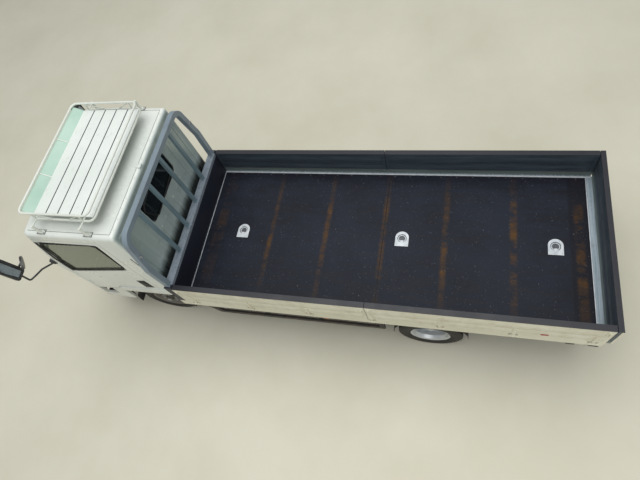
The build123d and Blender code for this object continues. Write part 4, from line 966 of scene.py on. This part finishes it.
def wheel_details():
    profile = tyre_section()
    for side, sign in SIDES:
        for end, node_name, axle_y, stations, _ in WHEELS:
            tread = Shape()
            for x in stations:
                place = turned((sign * x, axle_y, AXLE_Z), 90 * sign, "Y")
                tread.lathe(profile, place, TREAD_STEPS, tread_radius)
            obj = tread.done(f"tread_{end}_{side}", "tyre", f"wheel_{end}_{side}")
            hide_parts(f"{node_name}_{side}")
        for end, _, axle_y, _, circles in WHEELS:
            nuts = Shape()
            for k in range(6):
                angle = math.radians(60 * k + 12)
                for x, radius, size in circles:
                    y, z = axle_y + radius * math.cos(angle), AXLE_Z + radius * math.sin(angle)
                    nuts.bolt((sign * x, y, z), (sign, 0, 0), size)
            if end == "front":
                nuts.rod((sign * 795, axle_y, AXLE_Z), (sign * 799, axle_y, AXLE_Z), 30, 28, 2.0)
            nuts.done(f"nuts_{end}_{side}", "bright_steel", f"wheel_{end}_{side}", "rim_paint")
    spare_finish()


def spare_finish():
    """The spare is one node: the faces nearer its middle than the tyre take the rim's paint."""
    mesh = frame["nodes"]["spare_wheel"].data
    mesh.materials.append(MATS["rim_paint"])
    middle = at(0, 3760, 388)
    for face in mesh.polygons:
        away = face.center - middle
        if math.hypot(away.x, away.y) < RIM_R / 1000 + 0.003:
            face.material_index = 1


# Bed

GATES = [
    # name, y0, y1
    ("front", 6, 2172),
    ("rear", 2178, 4394),
]
SKIN_ZONES = ((972, 1084), (1112, 1242))


def gate_details():
    for part, y0, y1 in GATES:
        skins, latch, rubber = Shape(), Shape(), Shape()
        for low, high in SKIN_ZONES:
            skins.block(GATE_OUT - 15, GATE_OUT - 0.6, y0 + 41, y1 - 41, low, high, 1.2)
            skins.block(GATE_IN + 0.8, GATE_IN + 13, y0 + 41, y1 - 41, low, high, 1.2)
        for y, turn in ((y0 + 34, 1), (y1 - 34, -1)):
            latch.block(GATE_OUT - 1, GATE_OUT + 5, y - 26, y + 26, 1150, 1268, 2.0)
            latch.rod((GATE_OUT + 4, y, 1236), (GATE_OUT + 12, y, 1236), 14, 24, 2.0)
            latch.block(GATE_OUT + 8, GATE_OUT + 14, y - 9, y + 9, 1160, 1240, 3.0)
            cap = (GATE_OUT - 20, y - turn * 8)
            latch.rod((*cap, 1288), (*cap, 1288.9), 8, 16, 0.3)
            for z in (1162, 1256):
                latch.screw((GATE_OUT + 5, y + turn * 16, z), (1, 0, 0), 4.5)
        rubber.block(GATE_IN + 6, GATE_OUT - 6, y0 - 3, y0 + 1, 940, 1284, 1.0)
        pieces = (
            ("skins", skins, "gate_paint"),
            ("latches", latch, "gate_paint"),
            ("edge", rubber, "black_rubber"),
        )
        for side, sign in SIDES:
            for name, shape, finish in pieces:
                whole = shape if sign > 0 else shape.mirrored()
                whole.done(f"gate_{side}_{part}_{name}", finish, f"gate_{side}_{part}", "gate_paint")
    tail_details()


def tail_details():
    skins, latch = Shape(), Shape()
    for low, high in SKIN_ZONES:
        skins.block(-899, 899, TAIL_OUT - 13, TAIL_OUT - 0.6, low, high, 1.2)
        skins.block(-899, 899, TAIL_IN + 0.8, TAIL_IN + 11, low, high, 1.2)
    skins.done("tailgate_skins", "tail_paint", "tailgate")
    for side in (-1, 1):
        x = side * 918
        latch.block(x - 26, x + 26, TAIL_OUT - 1, TAIL_OUT + 5, 1150, 1268, 2.0)
        latch.rod((x, TAIL_OUT + 4, 1236), (x, TAIL_OUT + 12, 1236), 14, 24, 2.0)
        latch.block(x - 9, x + 9, TAIL_OUT + 8, TAIL_OUT + 14, 1160, 1240, 3.0)
        for z in (1162, 1256):
            latch.screw((x - side * 16, TAIL_OUT + 5, z), (0, 1, 0), 4.5)
    latch.done("tailgate_latches", "tail_paint", "tailgate")


def bed_details():
    foot = Shape()
    foot.block(-898, 898, 0.2, 5.0, FLOOR_TOP + 0.3, FLOOR_TOP + 14, 1.5)
    for side in (-1, 1):
        x0, x1 = sorted((side * 884, side * 899.5))
        foot.block(x0, x1, 6, 4394, FLOOR_TOP + 0.3, FLOOR_TOP + 11, 1.2)
    foot.block(-890, 890, 4341, 4349.5, FLOOR_TOP + 0.3, FLOOR_TOP + 7, 1.2)
    foot.done("floor_edge_strips", "lashing_zinc", "chassis")
    rivets = Shape()
    for n in range(24):
        y = 110 + n * 180
        for x in (-868, 868):
            rivets.screw((x, y, FLOOR_TOP), UP, 4.0)
    for n in range(16):
        rivets.screw((-840 + n * 112, 4378, FLOOR_TOP + 10), UP, 6.0)
    rivets.done("floor_rivets", "bright_steel", "chassis", "galvanised")
    plates = Shape()
    for y in (477, 2432, 4019):
        for dx, dy in ((52, 60), (52, -60), (-88, 34), (-88, -34)):
            plates.screw((dx, y + dy, FLOOR_TOP), UP, 4.5)
    plates.done("lashing_screws", "bright_steel", "chassis", "galvanised")
    feet = Shape()
    for x in (-900, 900):
        feet.block(x - 34, x + 34, -86, -18, 1297, 1303, 1.5)
        for dx in (-24, 24):
            feet.bolt((x + dx * 0.9, -80, 1303), UP, 5.0)
    for x in (-510, -184, 154, 480):
        feet.block(x - 26, x + 26, -68, -14, 1297, 1302, 1.5)
    feet.done("guard_feet", "guard_paint", "chassis")
    hooks = Shape()
    hooks.tube([(859, -24, 1925), (859, -4, 1925), (859, 6, 1937), (859, 6, 1962)], 6, 10)
    hooks.block(847, 871, -28, -20, 1910, 1940, 2.0)
    hooks.pair("rope_hooks", "bright_steel", "chassis", "guard_paint")
    stops = Shape()
    for y0, y1 in ((4095, 4178), (4293, 4383)):
        stops.block(905, 951, y0, y1, 738, 786, 8.0)
    stops.pair("bed_stops", "black_rubber", "chassis")
    red = Shape().block(GATE_OUT - 1, GATE_OUT + 2.5, 3832, 3900, 978, 1012, 1.5)
    red.done("gate_reflector", "rear_lens", "gate_left_rear")
    ribs = Shape()
    for k in range(6):
        y = 4396 + k * 8
        ribs.block(952, 959.6, y, y + 4, 940, 1230, 1.0)
    ribs.pair("tailgate_end_ribs", "tail_paint", "tailgate")


# Chassis

def chassis_details():
    for finish, x0, x1 in (("rear_lens", 566, 690), ("amber_lens", 693, 772), ("clear_lens", 775, 854)):
        lens = Shape().block(x0, x1, 4437, 4443, 701, 779, 3.0)
        for k in range(int((x1 - x0) / 12)):
            lens.block(x0 + 4 + 12 * k, x0 + 8 + 12 * k, 4442, 4444.5, 706, 774, 0.8)
        lens.pair(f"rear_{finish}", finish, "chassis", "rear_lens")
    straps = Shape()
    for y in (440, 820):
        straps.block(-783, -362, y - 14, y + 14, 649, 653, 1.0)
        straps.block(-783, -779.5, y - 14, y + 14, 452, 612, 1.0)
        straps.bolt((-783, y, 560), (-1, 0, 0), 7.0)
    straps.rod((-780, 640, 600), (-800, 640, 604), 32, 30, 3.0, 30)
    straps.done("tank_straps", "bright_steel", "chassis", "tank_steel")
    battery = Shape()
    battery.block(758, 766, 276, 684, 424, 616, 6.0)
    battery.tube([(764, 430, 560), (776, 434, 560), (776, 526, 560), (764, 530, 560)], 5, 8)
    for y in (300, 660):
        for z in (440, 600):
            battery.bolt((766, y, z), (1, 0, 0), 5.0)
    battery.done("battery_cover", "black_plastic", "chassis", "chassis_paint")
    clamps = Shape()
    for axle_y in (FRONT_AXLE_Y, REAR_AXLE_Y):
        for x in (-315, 315):
            for y in (axle_y - 40, axle_y + 40):
                clamps.tube([(x - 36, y, 345), (x - 36, y, 462), (x + 36, y, 462), (x + 36, y, 345)], 7, 10)
            clamps.block(x - 46, x + 46, axle_y - 56, axle_y + 56, 340, 352, 3.0)
    clamps.done("spring_clamps", "spring_steel", "chassis")
    rivets = Shape()
    for side in (-1, 1):
        for y in (-1500, -60, 620, 1500, 2250, 3350, 3760, 4270):
            for dy in (-18, 18):
                for z in (528, 634):
                    rivets.screw((side * 350, y + dy, z), (side, 0, 0), 8.0)
    for y in (900, 1600):
        rivets.lathe([(86, -12), (91, -12), (91, 12), (86, 12)], turned((-180, y, 470), 90, "X"), 48)
    rivets.done("frame_rivets", "chassis_paint", "chassis")
    outline = ((-1188, 476), (-1188, 775), (-1000, 775), (-1000, 640), (-1040, 476))
    splash = Shape().plate([(800, y, z) for y, z in outline], (6, 0, 0), 2.0)
    splash.pair("splash_panels", "black_plastic", "chassis")
    marker = Shape().block(877, 881, 1590, 1650, 518, 546, 2.0)
    marker.pair("side_guard_reflectors", "amber_lens", "chassis", "rear_lens")
    tread = Shape()
    for side in (-1, 1):
        for k in range(9):
            x = side * (670 + 16 * k)
            tread.block(x - 3, x + 3, -1376, -1192, 599, 603, 1.2)
    tread.done("step_treads", "black_rubber", "chassis")


rack_details()
roof_details()
cab_back_details()
door_details()
front_details()
mirror_details()
inside_details()
seat_pieces()
wheel_details()
gate_details()
bed_details()
chassis_details()


# Floor, light and camera

GROUND_HALF, GROUND_Z = 40.0, -0.001


def stage_floor():
    mesh = bpy.data.meshes.new("ground")
    corners = [(x * GROUND_HALF, y * GROUND_HALF, GROUND_Z) for x, y in ((-1, -1), (1, -1), (1, 1), (-1, 1))]
    mesh.from_pydata(corners, [], [(0, 1, 2, 3)])
    ground = add_object("ground", mesh)
    n = Nodes("ground")
    n.finish(n.mix(n.drift(0.6, 4.0), rgb(204, 200, 180), rgb(212, 208, 190)), 0.8)
    mesh.materials.append(MATS["ground"])


TRUCK_MIDDLE = Vector((0, 0, 0.8))


def area_light(name, place, size, watts):
    """A square lamp that faces the truck."""
    data = bpy.data.lights.new(name, "AREA")
    data.energy = watts
    data.size = size
    lamp = add_object(name, data)
    lamp.location = place
    lamp.rotation_euler = (TRUCK_MIDDLE - Vector(place)).to_track_quat("-Z", "Y").to_euler()


def set_light():
    """A soft ceiling panel over the truck, a weaker panel from the near side and a dim world."""
    world = bpy.data.worlds.new("studio")
    bpy.context.scene.world = world
    world.use_nodes = True
    sky = world.node_tree.nodes["Background"].inputs
    sky["Color"].default_value = (0.95, 0.98, 1.0, 1.0)
    sky["Strength"].default_value = 0.42
    area_light("ceiling", (-0.8, -0.6, 14.0), 14.0, 1500)
    area_light("fill", (7.0, 3.0, 4.0), 5.0, 130)
    bpy.context.scene.view_settings.view_transform = "Standard"


# The focal length in pixels of a picture 640 pixels wide
FOCAL_PX, PICTURE_WIDTH = 470.08, 640
SENSOR_WIDTH = 36.0
CAMERA_PLACE = (2379.9, 2998.8, 4805.3 + FLOOR_TOP)
YAW, PITCH, ROLL = -0.578, 1.046, 0.458


def set_camera():
    """The photograph's camera, solved from the truck's own straight edges."""
    ahead = Vector((-math.cos(PITCH) * math.cos(YAW), math.cos(PITCH) * math.sin(YAW), -math.sin(PITCH)))
    right = ahead.cross(Vector(UP)).normalized()
    down = ahead.cross(right)
    c, s = math.cos(ROLL), math.sin(ROLL)
    rolled_right, rolled_down = c * right + s * down, c * down - s * right
    data = bpy.data.cameras.new("camera")
    data.sensor_width = SENSOR_WIDTH
    data.lens = SENSOR_WIDTH * FOCAL_PX / PICTURE_WIDTH
    data.clip_end = 200.0
    camera = add_object("camera", data)
    turn = Matrix((rolled_right, -rolled_down, -ahead)).transposed()
    camera.matrix_world = Matrix.Translation(at(*CAMERA_PLACE)) @ turn.to_4x4()
    bpy.context.scene.camera = camera


stage_floor()
set_light()
set_camera()
